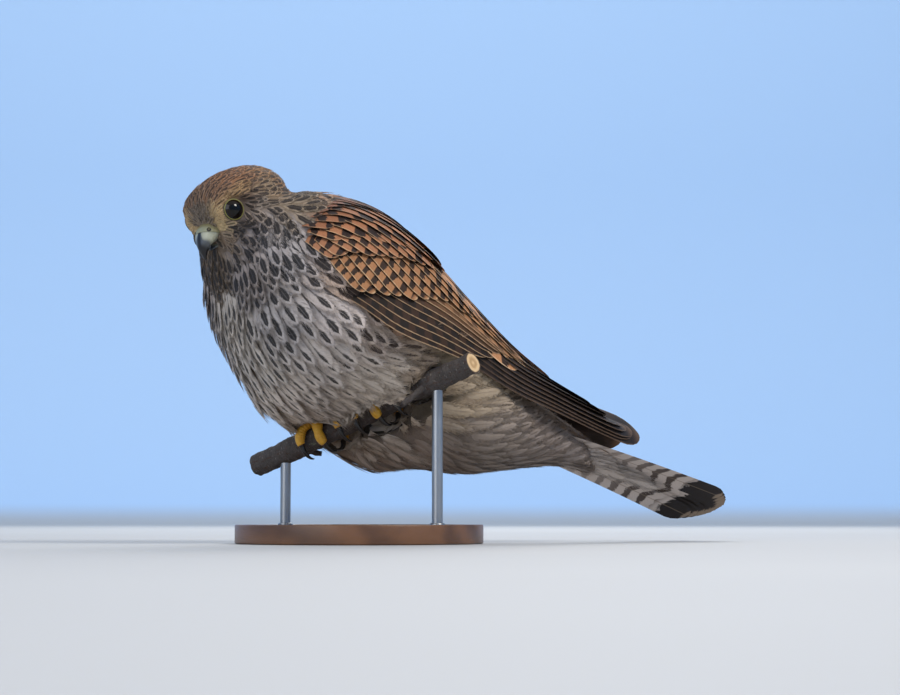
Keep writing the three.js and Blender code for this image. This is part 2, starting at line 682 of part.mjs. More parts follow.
const perch = perchShape();
const perchGrown = perchShape(GAP);
const torsoGrown = torsoShape(GAP);
const headGrown = headShape(GAP);
const feet = [FEET_APART, -FEET_APART];
const feetGrown = join(feet.map((foot) => footRoom(foot)));
const thighsGrown = join(feet.map((foot) => thighShape(foot, GAP)));
const flesh = torsoShape().add(headShape()).subtract(perchShape(0.9)).subtract(feetGrown).subtract(thighsGrown);

const eyes = [EYE_AT, EYE_AT.clone().multiply(new THREE.Vector3(-1, 1, 1))];
const [eyeLeft, eyeRight] = eyes.map((at) => sphereAt(at, EYE_RADIUS, headMatrix));
const sockets = join(eyes.map((at) => sphereAt(at, EYE_RADIUS + GAP, headMatrix)));
const lids = eyes.map((at) => {
  const ring = new THREE.TorusGeometry(EYE_OPENING + 0.7, 0.9, 6, 14);
  const out = new THREE.Vector3(Math.sign(at.x) * 0.965, 0.26, 0.06).normalize();
  ring.applyQuaternion(new THREE.Quaternion().setFromUnitVectors(new THREE.Vector3(0, 0, 1), out));
  const seat = at.clone().addScaledVector(out, Math.sqrt(EYE_RADIUS ** 2 - EYE_OPENING ** 2) - 0.3);
  ring.translate(seat.x, seat.y, seat.z);
  return solid(place(ring, headMatrix));
});

const upperBill = billPart(UPPER_BILL);
const lowerBill = billPart(LOWER_BILL);
const bills = join([billPart(UPPER_BILL, GAP), billPart(LOWER_BILL, GAP)]);
const headFull = join([flesh, ...lids]).subtract(sockets).subtract(bills);
add('head', headFull.intersect(frontBlock(NECK_CUT, 0)), COLOURS.crown);
add('neck', headFull.subtract(frontBlock(NECK_CUT, GAP)).intersect(frontBlock(BREAST_CUT, 0)), COLOURS.crown);
add('torso', flesh.subtract(frontBlock(BREAST_CUT, GAP)).intersect(frontBlock(TAIL_CUT, 0)), COLOURS.breast);
add('eye_left', eyeLeft, COLOURS.eye, 0.1);
add('eye_right', eyeRight, COLOURS.eye, 0.1);

const cereBlock = (shift) => {
  const block = new THREE.BoxGeometry(60, 60, 60);
  block.translate(0, CERE_FRONT - 30 + shift, 0);
  return solid(place(block, headMatrix));
};
const nostrils = join([1, -1].map((way) => {
  const hole = new THREE.CylinderGeometry(NOSTRIL_RADIUS, NOSTRIL_RADIUS, 2 * NOSTRIL_DEPTH + 1, 12);
  hole.rotateZ(Math.PI / 2);
  hole.rotateZ(way * degrees(35));
  hole.translate(way * NOSTRIL_AT.x, NOSTRIL_AT.y, NOSTRIL_AT.z);
  return solid(place(hole, headMatrix));
}));
add('cere', upperBill.intersect(cereBlock(0)).subtract(nostrils), COLOURS.cere, 0.5);
add('bill_upper', upperBill.subtract(cereBlock(GAP)), COLOURS.horn, 0.35);
add('bill_lower', lowerBill.subtract(billPart(UPPER_BILL, GAP)), COLOURS.horn, 0.35);

const tailWhole = flesh.subtract(frontBlock(TAIL_CUT, GAP)).add(tailShape().subtract(frontBlock(TAIL_CUT, GAP)));
add('tail', tailWhole, COLOURS.tail);

const wing = wingShape();
const bodyGrown = join([torsoGrown, headGrown, tailShape(GAP)]);
for (const [name, matrix] of [['wing_left', birdMatrix], ['wing_right', birdMatrix.clone().multiply(mirror)]]) {
  add(name, moved(wing, matrix).subtract(bodyGrown), COLOURS.back);
}

for (const [side, foot] of [['left', FEET_APART], ['right', -FEET_APART]]) {
  const grown = thighShape(foot, GAP).add(perchGrown);
  add(`thigh_${side}`, thighShape(foot).subtract(perchGrown), COLOURS.breast);
  add(`foot_${side}`, footShape(foot).subtract(grown), COLOURS.yellow, 0.5);
  for (const toe of TOES) add(`claw_${side}_${toe.name}`, clawShape(foot, toe).subtract(grown), COLOURS.black, 0.3);
}

add('perch', perch, COLOURS.bark);
add('stand_base', baseShape(), COLOURS.base, 0.5);
RODS_AT.forEach((at, i) => add(`stand_rod_${i + 1}`, rodShape(at).subtract(perchGrown), COLOURS.rod, 0.3, 1));

export default kestrel;
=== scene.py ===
import math
from contextlib import contextmanager

import bpy
import numpy as np
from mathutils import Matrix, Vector
from mathutils.bvhtree import BVHTree
from mathutils.kdtree import KDTree


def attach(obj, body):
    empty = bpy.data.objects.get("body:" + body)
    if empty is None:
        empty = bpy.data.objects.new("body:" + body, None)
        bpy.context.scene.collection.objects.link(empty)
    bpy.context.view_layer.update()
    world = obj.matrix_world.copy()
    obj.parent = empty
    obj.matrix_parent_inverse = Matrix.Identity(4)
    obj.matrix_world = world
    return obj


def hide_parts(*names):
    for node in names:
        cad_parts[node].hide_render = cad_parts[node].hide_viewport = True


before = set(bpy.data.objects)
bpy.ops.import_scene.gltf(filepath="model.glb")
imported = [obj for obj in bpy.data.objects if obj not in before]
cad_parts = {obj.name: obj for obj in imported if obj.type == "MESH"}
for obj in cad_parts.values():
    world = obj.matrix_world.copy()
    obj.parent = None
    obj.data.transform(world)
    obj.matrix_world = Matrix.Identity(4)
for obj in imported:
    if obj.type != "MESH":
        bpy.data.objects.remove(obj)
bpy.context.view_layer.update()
MM = 0.001
chance = np.random.default_rng(11)
BARBS_A_FEATHER, BARB_THINNESS = ((100, 0.75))

# ---------------------------------------------------------------- sizes shared with the solids, in millimetres

GRIP = np.array([0, 0, 66])
ROLL_HEIGHT = 50
HEAD_AT = (4, -78, 87)
BODY_ROLL, HEAD_YAW, HEAD_PITCH, HEAD_ROLL, TAIL_ROLL = np.radians([6, 11, 35, 2.3, 18])

# [back y, back z, belly y, belly z, half width] from the grip
TORSO = np.array([
    [-64, 91, -83, 79, 14], [-53, 97, -79, 66, 28], [-38, 101, -74, 50, 37], [-18, 101, -68, 32, 43],
    [-2, 95, -57, 16, 46], [13, 82, -43, 5, 48], [27, 68, -27, -2, 47], [41, 53, -5, -10, 45],
    [55, 37, 21, -24, 40], [71, 21, 48, -31, 33], [88, 8, 72, -31, 25], [105, -1, 93, -28, 18],
    [123, -10, 116, -27, 12], [138, -19, 134, -31, 4],
], float)
TORSO_SQUARENESS = 2 / 2.35
DRAPE_TOP, DRAPE_BACK, DRAPE_EASE, DRAPE_SLOPE, DRAPE_CURVE, DRAPE_FROM = 34, 20, 25, 0.23, 0.015, 8

HEAD_MIDDLE = np.array([0, -8.5, -4])
HEAD_SIDE, HEAD_FRONT, HEAD_BACK, HEAD_UP, HEAD_DOWN = 23, 18.5, 33, 20.5, 21
# Eye sockets, brows and lores: [x, y, z, stretch y, stretch z, height, spread]
HEAD_RELIEF = [[18.1, 4.4, 0.9, 1, 1, -2.9, 6.5], [14, 4, 7.5, 0.6, 1.2, 1.3, 6], [10, 8, -4, 1, 0.8, -0.7, 5]]
EYE_AT = np.array([13.1, 1.4, 0.9])
EYE_OUT = np.array([0.965, 0.26, 0.06])
EYE_RADIUS, EYE_OPENING, EYE_CLEAR = 5.6, 4.5, 5.0

# [ridge forward, ridge up, edge forward, edge up, half width] in the head's own frame
UPPER_BILL = [
    [4.0, 0.0, 1.0, -8.0, 7.2], [8.0, 0.2, 5.0, -9.2, 7.6], [11.0, -0.4, 8.6, -9.4, 7.0],
    [13.8, -2.0, 11.0, -9.4, 6.0], [16.2, -4.6, 13.2, -9.8, 4.6], [17.8, -7.8, 14.9, -11.0, 3.1],
    [18.5, -11.0, 16.3, -12.2, 1.7], [18.4, -14.2, 17.9, -14.3, 0.35],
]
LOWER_BILL = [
    [3.0, -9.6, 4.0, -11.8, 4.2], [6.5, -9.8, 6.5, -12.6, 5.0], [9.4, -10.0, 9.0, -12.6, 4.2],
    [11.6, -10.6, 11.2, -12.2, 2.8], [13.0, -11.5, 12.8, -11.9, 1.0],
]
BILL_RINGS = 64
CERE_FRONT, CERE_SWELL = 12.2, 0.28
NOSTRIL_AT = np.array([4.3, 11.9, -2.2])

# The folded wing as a sheet between two edges, [share, x, y, z]
WING_LOWER = [
    [0.0, 43, -50, 54], [0.15, 52, -28, 40], [0.27, 54, -8, 28], [0.38, 51, 16, 21],
    [0.5, 43, 44, 14], [0.65, 32, 78, 6], [0.85, 17, 128, -5], [1.0, 8, 167, -13],
]
WING_UPPER = [
    [0.0, 24, -50, 88], [0.15, 20, -30, 100], [0.27, 21, -5, 96], [0.38, 21, 18, 80],
    [0.5, 18, 44, 56], [0.65, 13, 80, 27], [0.85, 8, 130, 2], [1.0, 5, 168, -9],
]
WING_BULGE = [[0.0, 7], [0.15, 12], [0.27, 13], [0.38, 12], [0.65, 5], [1.0, 0.8]]
WING_CORE_END = 0.56

TAIL_ROOT = np.array([0.0, 66, -2])
TAIL_TIP = np.array([0.0, 219, -49])
TAIL_FEATHERS, TAIL_FEATHER_WIDTH = 12, 17

PERCH_RADIUS = 5.4
PERCH_AT = GRIP + np.array([0, -2, -5.6])
PERCH_ALONG = np.array([0.866, 0.36, 0.325]) / np.linalg.norm([0.866, 0.36, 0.325])
PERCH_LOW, PERCH_HIGH = -66, 72
# [place along the perch, turn in degrees, length, radius, lean]
TWIGS = [[-42, 205, 15, 1.5, 0.8], [47, 330, 19, 1.7, -0.7]]
FEET_APART = 17
TOE_RADIUS = 2.4
BARK_RELIEF = 0.9
TOE_REACH = PERCH_RADIUS + BARK_RELIEF + TOE_RADIUS
TOE_END = 0.86
# [name, side, splay, reach, start] with the turns in degrees
TOES = [["1", 0, 2, -112, 118], ["2", -3, -9, 118, 84], ["3", 0, 0, 148, 84], ["4", 3, 9, 118, 84]]
CLAW_LENGTH = 9.5
BASE_RADIUS, BASE_HEIGHT = 60, 9
ROD_RADIUS = 2.6
RODS_AT = (-46, 50)

# ---------------------------------------------------------------- frames and curves


def shifted(x, y, z):
    made = np.eye(4)
    made[:3, 3] = (x, y, z)
    return made


def turned(axis, angle):
    made = np.eye(4)
    i, j = [(1, 2), (2, 0), (0, 1)][axis]
    made[i, i] = made[j, j] = math.cos(angle)
    made[j, i], made[i, j] = math.sin(angle), -math.sin(angle)
    return made


BIRD = shifted(*GRIP[:2], GRIP[2] + ROLL_HEIGHT) @ turned(1, -BODY_ROLL) @ shifted(0, 0, -ROLL_HEIGHT)
HEAD = BIRD @ shifted(*HEAD_AT) @ turned(2, HEAD_YAW) @ turned(0, HEAD_PITCH) @ turned(1, HEAD_ROLL)
HEAD = HEAD @ np.diag([1, -1, 1, 1])


def put(matrix, points):
    return points @ matrix[:3, :3].T + matrix[:3, 3]


def taken(matrix, points):
    return put(np.linalg.inv(matrix), points)


def aimed(matrix, ways):
    return ways @ matrix[:3, :3].T


def norm(ways):
    return np.linalg.norm(ways, axis=-1)


def unit(ways):
    return ways / np.maximum(norm(ways)[..., None], 1e-12)


def ease(value):
    value = np.clip(value, 0, 1)
    return value * value * (3 - 2 * value)


def bell(value, middle, spread):
    return np.exp(-(((value - middle) / spread) ** 2))


def ways_round(turn, share):
    """Unit ways all round: a turn about the z axis, and a share of the half turn from its top to its foot."""
    tilt, angle = share * math.pi, turn * 2 * math.pi
    return np.stack([np.sin(tilt) * np.cos(angle), np.sin(tilt) * np.sin(angle), np.cos(tilt)], 1)


def through(rows, share, keyed=True):
    """Smooth values through rows of [share, ...values], or through evenly spaced rows."""
    rows, share = np.asarray(rows, float), np.asarray(share, float)
    last = len(rows) - 1
    keys, values = (rows[:, 0], rows[:, 1:]) if keyed else (np.linspace(0, 1, last + 1), rows)
    start = np.clip(np.searchsorted(keys, share, side="right") - 1, 0, last - 1)
    ids = [np.clip(start + k, 0, last) for k in (-1, 0, 1, 2)]
    ka, kb, kc, kd = (keys[i][..., None] for i in ids)
    a, b, c, d = (values[i] for i in ids)
    t = (share[..., None] - kb) / (kc - kb)
    slope_b = (c - a) / (kc - ka) * (kc - kb)
    slope_c = (d - b) / (kd - kb) * (kc - kb)
    bend = slope_b * (t**3 - 2 * t**2 + t) + slope_c * (t**3 - t**2)
    return b * (2 * t**3 - 3 * t**2 + 1) + c * (3 * t**2 - 2 * t**3) + bend


# ---------------------------------------------------------------- pieces and their meshes


def choose(*pieces):
    bpy.ops.object.select_all(action="DESELECT")
    for piece in pieces:
        piece.select_set(True)
        bpy.context.view_layer.objects.active = pieces[0]


def named(name):
    """The object in hand, under a new name."""
    piece = bpy.context.object
    piece.name = piece.data.name = name
    return piece


def fetched(rows, key, width=3, kind=float):
    """One property of every point, edge or face of a mesh, as an array."""
    found = np.empty(len(rows) * width, kind)
    rows.foreach_get(key, found)
    return found.reshape(-1, width)


def points_of(piece):
    return fetched(piece.data.vertices, "co") / MM


def normals_of(piece):
    return fetched(piece.data.vertex_normals, "vector")


def set_points(piece, points):
    piece.data.vertices.foreach_set("co", (points * MM).astype(np.float32).ravel())
    piece.data.update()


@contextmanager
def edit_mode(piece):
    choose(piece)
    bpy.ops.object.mode_set(mode="EDIT")
    bpy.ops.mesh.select_all(action="SELECT")
    yield
    bpy.ops.object.mode_set(mode="OBJECT")


def face_outwards(piece):
    with edit_mode(piece):
        bpy.ops.mesh.remove_doubles(threshold=1e-7)
        bpy.ops.mesh.normals_make_consistent(inside=False)


def smooth_shaded(piece, angle=None):
    choose(piece)
    if angle is None:
        bpy.ops.object.shade_smooth()
    else:
        bpy.ops.object.shade_smooth_by_angle(angle=math.radians(angle))


def ball(name, segments, rings, shape):
    """A sphere whose every point is moved to where shape(turn, share) says, so that its ends close."""
    choose()
    bpy.ops.mesh.primitive_uv_sphere_add(segments=segments, ring_count=rings, radius=1)
    piece = named(name)
    at = points_of(piece) * MM
    share = np.arccos(np.clip(at[:, 2], -1, 1)) / math.pi
    share[share < 1e-4] = 0
    share[share > 1 - 1e-4] = 1
    set_points(piece, shape(np.arctan2(at[:, 1], at[:, 0]) / (2 * math.pi) % 1, share))
    face_outwards(piece)
    smooth_shaded(piece)
    return piece


def apply(piece, kind, **settings):
    choose(piece)
    modifier = piece.modifiers.new(kind.title(), kind)
    for key, value in settings.items():
        setattr(modifier, key, value)
    bpy.ops.object.modifier_apply(modifier=modifier.name)


def joined(name, pieces):
    choose(*pieces)
    bpy.ops.object.join()
    return named(name)


def note(piece, name, values):
    """Keeps a value, a vector or a colour for each point of a piece, for its material to read."""
    values = np.asarray(values, np.float32)
    kinds = {1: ("FLOAT", "value"), 3: ("FLOAT_VECTOR", "vector"), 4: ("FLOAT_COLOR", "color")}
    kind, key = kinds[1 if values.ndim == 1 else values.shape[1]]
    piece.data.attributes.new(name, kind, "POINT").data.foreach_set(key, values.ravel())


def with_alpha(colours):
    return np.concatenate([colours, np.ones((len(colours), 1))], 1)


def finished(piece, finish, slot_name, *nodes):
    """Gives a piece its finish or finishes and its body, and hides the parts of the nodes that it stands for; slot_name
    is not used.
    """
    piece.data.materials.clear()
    for one in finish if isinstance(finish, list) else [finish]:
        piece.data.materials.append(one)
    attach(piece, "root")
    if nodes:
        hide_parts(*nodes)


# ---------------------------------------------------------------- finishes


def paint(code):
    """A colour as seen on a screen, such as "a3704a", as the linear colour that the shader takes."""
    seen = np.array([int(code[i : i + 2], 16) for i in (0, 2, 4)]) / 255
    return np.where(seen <= 0.04045, seen / 12.92, ((seen + 0.055) / 1.055) ** 2.4)


def add_node(tree, kind, settings=None, values=None, output=0):
    """Adds one node, with its settings made first, and its sockets given values, colour codes or links."""
    node = tree.nodes.new(kind)
    for key, value in (settings or {}).items():
        setattr(node, key, value)
    for key, value in (values or {}).items():
        if isinstance(value, Signal):
            tree.links.new(value.socket, node.inputs[key])
        else:
            node.inputs[key].default_value = (*paint(value), 1.0) if isinstance(value, str) else value
    return Signal(tree, node.outputs[output])


class Signal:
    """A shader socket that takes part in sums."""

    def __init__(self, tree, socket):
        self.tree, self.socket = tree, socket

    def math(self, operation, *values):
        return add_node(self.tree, "ShaderNodeMath", {"operation": operation}, dict(enumerate(values)))

    def __add__(self, other):
        return self.math("ADD", self, other)

    __radd__ = __add__

    def __sub__(self, other):
        return self.math("SUBTRACT", self, other)

    def __rsub__(self, other):
        return self.math("SUBTRACT", other, self)

    def __mul__(self, other):
        return self.math("MULTIPLY", self, other)

    __rmul__ = __mul__

    def __abs__(self):
        return self.math("ABSOLUTE", self)


class Finish:
    """A material under construction: its tree, its shader, and the common ways to read the piece."""

    def __init__(self, name, rough, shine=0.5, **constants):
        self.material = bpy.data.materials.new(name)
        self.material.use_nodes = True
        self.tree = self.material.node_tree
        self.shader = self.tree.nodes["Principled BSDF"]
        for key, value in {"Roughness": rough, "Specular_IOR_Level": shine, **constants}.items():
            self.shader.inputs[key.replace("_", " ")].default_value = value

    def node(self, kind, settings=None, values=None, output=0):
        return add_node(self.tree, kind, settings, values, output)

    def math(self, operation, *values):
        return self.node("ShaderNodeMath", {"operation": operation}, dict(enumerate(values)))

    def place(self):
        return self.node("ShaderNodeTexCoord", output=3)

    def colour(self, name):
        return self.node("ShaderNodeAttribute", {"attribute_name": name}, output=0)

    def number(self, name):
        return self.node("ShaderNodeAttribute", {"attribute_name": name}, output=2)

    def numbers(self, name):
        return self.parts(self.node("ShaderNodeAttribute", {"attribute_name": name}, output=1))

    def parts(self, vector):
        split = self.node("ShaderNodeSeparateXYZ", None, {0: vector}).socket.node
        return [Signal(self.tree, out) for out in split.outputs]

    def vane(self):
        """Across a feather, along it, and out from its shaft."""
        across, along, _ = self.parts(self.node("ShaderNodeUVMap", {"uv_map": "Vane"}))
        return across, along, abs(across * 2 - 1)

    def vector(self, x, y, z):
        return self.node("ShaderNodeCombineXYZ", None, {0: x, 1: y, 2: z})

    def stretched(self, vector, *scale):
        return self.node("ShaderNodeMapping", None, {0: vector, 3: scale})

    def noise(self, vector, scale=1.0, detail=3.0, rough=0.6):
        values = {"Vector": vector, "Scale": scale, "Detail": detail, "Roughness": rough}
        return self.node("ShaderNodeTexNoise", None, values)

    def cells(self, vector, scale, feature="DISTANCE_TO_EDGE"):
        return self.node("ShaderNodeTexVoronoi", {"feature": feature}, {"Vector": vector, "Scale": scale})

    def step(self, value, low, high):
        """0 below low and 1 above high, smoothly."""
        return self.node("ShaderNodeMapRange", {"interpolation_type": "SMOOTHSTEP"}, {0: value, 1: low, 2: high})

    def mix(self, share, first, second, kind="MIX"):
        settings = {"data_type": "RGBA", "blend_type": kind}
        return self.node("ShaderNodeMix", settings, {0: share, 6: first, 7: second}, 2)

    def give(self, hue, height=None, strength=0.5, distance=0.0003, rough=None):
        """Links the colour, the relief and the roughness, as far as they are given. Returns the material."""
        links = {"Base Color": hue, "Roughness": rough, "Normal": height}
        if height is not None:
            values = {"Strength": strength, "Distance": distance, "Height": height}
            links["Normal"] = self.node("ShaderNodeBump", None, values)
        for key, value in links.items():
            if value is not None:
                self.tree.links.new(value.socket, self.shader.inputs[key])
        return self.material


def plumage(name, pattern, edge_from=0.72, shade=0.45):
    """Feather vanes: a ground colour with the streak or the bars of each feather, barbs, a worn pale edge, and painted
    shade towards the root, where the feathers above overlap it.
    """
    m = Finish(name, 0.72, 0.28)
    across, along, side = m.vane()
    streak, start, seed = m.numbers("look")
    length, width, edged = m.numbers("measure")
    ground, mark, rim = (m.colour(key) for key in ("ground", "mark", "rim"))
    barb = along * length - side * width * 0.42
    strands = m.noise(m.vector(barb * 2.6, side * width * 0.35, seed * 40))
    wobble = m.noise(m.vector(barb * 0.55, across * width * 0.5, seed * 60), 1.0, 2.0, 0.5) - 0.5
    shaft_share = 0.35
    if pattern == "streak":
        shaft_share = m.step(streak, 0.1, 0.3) * 0.6
        half = streak * (0.16 + m.step(along - start, -0.22, 0.04) * 0.84) * (1 - m.step(along, 0.86, 0.97))
        mask = m.step(half - side + wobble * 0.3 + (strands - 0.5) * 0.5, -0.12, 0.12)
        mask = mask * m.step(streak, 0.02, 0.1)
    elif pattern == "bar":
        place = along * start + seed * 0.45 - side * 0.08 - 0.1 + wobble * 0.24 + (strands - 0.5) * 0.1
        cell = m.math("FRACT", place)
        mask = 1 - m.step(abs(cell - 0.5) + side * side * 0.07 + wobble * 0.16, 0.22, 0.28)
        mask = mask * streak * (1 - m.step(along, 0.91, 0.96))
    else:
        cell = m.math("FRACT", along * start - side * 0.2 + wobble * 0.2 + seed * 0.1)
        mask = m.step(cell, 0.42, 0.54) * (1 - m.step(cell, 0.9, 0.99)) * streak
    shaft = (1 - m.step(side, 0.015, 0.07)) * (1 - m.step(along, 0.82, 0.95))
    hue = m.mix(m.step(strands, 0.2, 0.85), m.mix(0.3, ground, "3a2c24", "MULTIPLY"), ground)
    hue = m.mix(mask, hue, m.mix(m.step(strands, 0.3, 0.9) * 0.12, mark, ground))
    hue = m.mix(shaft * shaft_share, hue, m.mix(0.3, mark, ground))
    at_side, at_tip = m.step(side + wobble * 0.12, edge_from, 0.99), m.step(along, 0.7 + edge_from * 0.3, 0.995)
    hue = m.mix(m.math("MAXIMUM", at_side, at_tip) * edged, hue, rim)
    # Painted shade: each vane darkens towards its root, standing for the shadow of the feathers that overlap it there;
    # shade sets how strong it is.
    dim = m.mix(1.0, hue, (0.42, 0.36, 0.33, 1), "MULTIPLY")
    hue = m.mix((1 - m.step(along, 0.0, 0.45)) * shade, hue, dim)
    fine = m.noise(m.vector(barb * 6.0, side * width * 0.6, seed * 90), 1.0, 2.0)
    return m.give(hue, fine * 0.5 + strands * 0.5 + shaft * 0.8)


def tail_finish(name, ground, pale, bars, dark):
    m = Finish(name, 0.7, 0.28)
    across, along, side = m.vane()
    seed = m.numbers("look")[2]
    barb = along * 160 - side * 7
    strands = m.noise(m.vector(barb * 1.6, side * 3, seed * 40))
    wobble = m.noise(m.vector(barb * 0.3, across * 4, seed * 60), 1.0, 2.0, 0.5) - 0.5
    cell = m.math("FRACT", along * 15 + wobble * 0.5 - side * 0.3)
    bar = m.step(cell, 0.46, 0.56) * (1 - m.step(cell, 0.86, 0.97)) * (1 - m.step(along, 0.82, 0.87))
    bar = bar * (0.4 + m.step(along, 0.45, 0.78) * 0.6)
    band = m.step(along + wobble * 0.06 + seed * 0.03 - side * 0.012, 0.868, 0.885)
    tip = m.step(along + wobble * 0.012 - side * 0.006, 0.976, 0.986)
    shaft = 1 - m.step(side, 0.02, 0.07)
    hue = m.mix(bar * bars, m.mix(strands, ground, pale), dark)
    hue = m.mix(shaft * 0.5, m.mix(tip, m.mix(band, hue, "1e1614"), "8a7866"), "7a6a58")
    return m.give(hue, strands * 0.6 + shaft, 0.45)


def skin_finish():
    m = Finish("down_and_skin", 0.9, 0.1)
    # The ground colour noted on the skin includes the painted shadow round the perch.
    tone, ground = m.noise(m.place(), 900.0), m.colour("ground")
    return m.give(m.mix(tone, m.mix(0.6, ground, (0.25, 0.22, 0.2, 1), "MULTIPLY"), ground), tone, 0.6, 0.0006)


def eye_finish():
    m = Finish("dark_wet_eye", 0.05, 0.3)
    out = m.number("outward")
    iris = m.mix(m.noise(m.place(), 1400.0, 3.0, 0.7), "0c0806", "1a100b")
    hue = m.mix(m.step(out, 0.86, 0.885), iris, (0.002, 0.002, 0.002, 1))
    return m.give(m.mix(m.step(out, 0.5, 0.6), (0.004, 0.003, 0.003, 1), hue))


def ring_finish():
    m = Finish("bare_eye_ring", 0.42)
    hue = m.mix(m.noise(m.place(), 1500.0), "625d2b", "88823a")
    hue = m.mix(m.step(abs(m.number("inner") - 0.1), 0.6, 0.85), hue, "1d1a12")
    return m.give(hue, m.cells(m.place(), 1800.0), 0.5, 0.0002)


def cere_finish():
    m = Finish("waxy_cere", 0.38)
    tone = m.noise(m.place(), 700.0, 4.0)
    hue = m.mix(m.step(m.number("ahead"), 0.7, 1.0) * 0.5, m.mix(tone, "776f4c", "948b63"), "9aa088")
    return m.give(hue, m.cells(m.place(), 1500.0) * 0.6 + tone * 0.5, 0.4)


def horn_finish():
    m = Finish("bill_horn", 0.28)
    ahead, ridge = m.number("ahead"), m.number("ridge")
    cloud = m.noise(m.place(), 420.0)
    shift = cloud - 0.5
    grain = m.noise(m.stretched(m.place(), 300, 300, 2600))
    slate = m.step(ahead + shift * 0.12 + ridge * 0.3, 0.46, 0.62)
    hue = m.mix(slate, m.mix(cloud, "8f917c", "b4b4a0"), m.mix(cloud, "3f4348", "565b60"))
    hue = m.mix(m.step(ridge + shift * 0.3, 0.35, 0.8) * m.step(ahead, 0.16, 0.34), hue, "1b1a1f")
    hue = m.mix(m.step(ahead + shift * 0.1, 0.62, 0.8), hue, "0f0e11")
    return m.give(hue, grain, 0.25, 0.0002, 0.24 + grain * 0.16)


def nostril_finish():
    m = Finish("nostril_shade", 0.6)
    return m.give(m.mix(m.noise(m.place(), 2500.0, 2.0, 0.5), "191510", "332a1c"))


def foot_finish():
    m = Finish("scaled_foot", 0.45, 0.45)
    tone, cells = m.noise(m.place(), 500.0, 4.0), m.cells(m.place(), 1300.0)
    hue = m.mix((1 - m.step(m.number("scute"), 0.0, 0.28)) * 0.6, m.mix(tone, "c98a1c", "e6b53c"), "7a4d16")
    hue = m.mix((1 - m.step(cells, 0.0, 0.14)) * 0.25, hue, "8a5c1e")
    return m.give(hue, m.step(cells, 0.0, 0.2) * 0.5 + tone * 0.3)


def claw_finish():
    m = Finish("claw_horn", 0.25)
    grain = m.noise(m.stretched(m.place(), 900, 900, 900))
    return m.give(m.mix(m.number("ahead"), "2b2622", "0d0c0c"), grain, 0.2, 0.0002, 0.22 + grain * 0.18)


def bark_finish():
    m = Finish("birch_twig_bark", 0.85, 0.2)
    turn, along, _ = m.numbers("bark")
    x, y = m.math("COSINE", turn), m.math("SINE", turn)
    cloud = m.noise(m.vector(x, y, along), 1.2, 4.0)
    fine = m.noise(m.place(), 1600.0, 4.0, 0.65)
    flakes = m.noise(m.vector(x * 2.2, y * 2.2, along * 0.16), 2.2, 4.0)
    spots = 1 - m.step(m.cells(m.vector(x * 1.5, y * 1.5, along * 0.9), 1.0, "F1"), 0.12, 0.24)
    hue = m.mix(m.step(flakes, 0.52, 0.66) * 0.7, m.mix(cloud, "3c383a", "6c655f"), "574238")
    hue = m.mix(m.step(fine, 0.35, 0.75) * 0.5, hue, "2a2726")
    hue = m.mix(spots * 0.75, hue, "8d857b")
    lichen = m.step(m.noise(m.place(), 160.0, 4.0, 0.7), 0.63, 0.7)
    hue = m.mix(lichen * 0.6, hue, "828a72")
    return m.give(hue, fine * 0.6 + flakes * 0.9 + spots * 0.4 + cloud * 0.4, 1.0, 0.001)


def cut_wood_finish():
    m = Finish("cut_wood_end", 0.8)
    out = m.numbers("bark")[2]
    wave = m.math("SINE", out * 9 + m.noise(m.place(), 500.0, 2.0, 0.5) * 3)
    hue = m.mix(m.step(out, 0.8, 0.9), m.mix(wave * 0.5 + 0.5, "b08d62", "d3b488"), "4a3a30")
    return m.give(hue, wave, 0.3)


def wood_finish():
    m = Finish("oiled_walnut_base", 0.42, 0.45, Coat_Weight=0.25, Coat_Roughness=0.25)
    place = m.place()
    _, y, z = m.parts(place)
    rings = m.math("SINE", (y * 210 + m.noise(m.stretched(place, 9, 26, 30)) * 16) + z * 60)
    pores = m.noise(m.stretched(place, 70, 2400, 2400))
    hue = m.mix(m.step(pores, 0.55, 0.75) * 0.6, m.mix(rings * 0.5 + 0.5, "4a3020", "6e4a30"), "2c1b11")
    hue = m.mix(m.noise(place, 30.0, 2.0, 0.5) * 0.4, hue, "7a5435")
    return m.give(hue, pores + rings * 0.15, 0.25, rough=0.36 + pores * 0.16)


def steel_finish():
    m = Finish("brushed_steel_rod", 0.34, Metallic=1.0)
    brush = m.noise(m.stretched(m.place(), 400, 400, 9000), 1.0, 2.0)
    hue = m.mix(m.noise(m.place(), 60.0, 2.0, 0.5) * 0.6 + brush * 0.3, "8f9294", "b9bbbc")
    return m.give(hue, brush, 0.12, 0.0001, 0.27 + brush * 0.2)


def floor_finish():
    m = Finish("pale_studio_floor", 0.7, 0.2)
    high = m.parts(m.place())[2]
    pale = m.mix(m.noise(m.place(), 3.0, 2.0, 0.5), "b4b5b6", "babbbb")
    return m.give(m.mix(m.step(high, 0.0, 0.05), pale, "bcd8f6"))


# ---------------------------------------------------------------- camera, light and floor

CAMERA_AT = np.array([778.02, -449.19, 12.0]) * MM
CAMERA_SIDE, CAMERA_TURN, CAMERA_RISE = np.radians([60, -2.796, 5.291])
LENS, SENSOR = 73.8, 36
WORLD_COLOUR, WORLD_STRENGTH = (0.93, 0.93, 0.95, 1), 0.66
# [name, place, target, size, power, colour] in metres and watts
LAMPS = [
    ["key_softbox", (1.15, 0.35, 1.15), (0, 0, 0.11), 0.5, 18, (1.0, 0.95, 0.88)],
    ["front_softbox", (0.5, -1.5, 0.7), (0, 0, 0.11), 1.2, 10, (1.0, 0.975, 0.95)],
    ["back_softbox", (-1.0, 0.9, 1.2), (0, 0, 0.11), 0.9, 12, (1.0, 0.97, 0.94)],
    ["wall_wash", (-1.0, 0.6, 2.4), (-3.2, 1.85, 0.9), 1.6, 38, (0.9, 0.96, 1.0)],
]
FLOOR_RADIUS, WALL_CURVE, WALL_HEIGHT, CURVE_STEPS = 3.0, 0.9, 3.0, 12


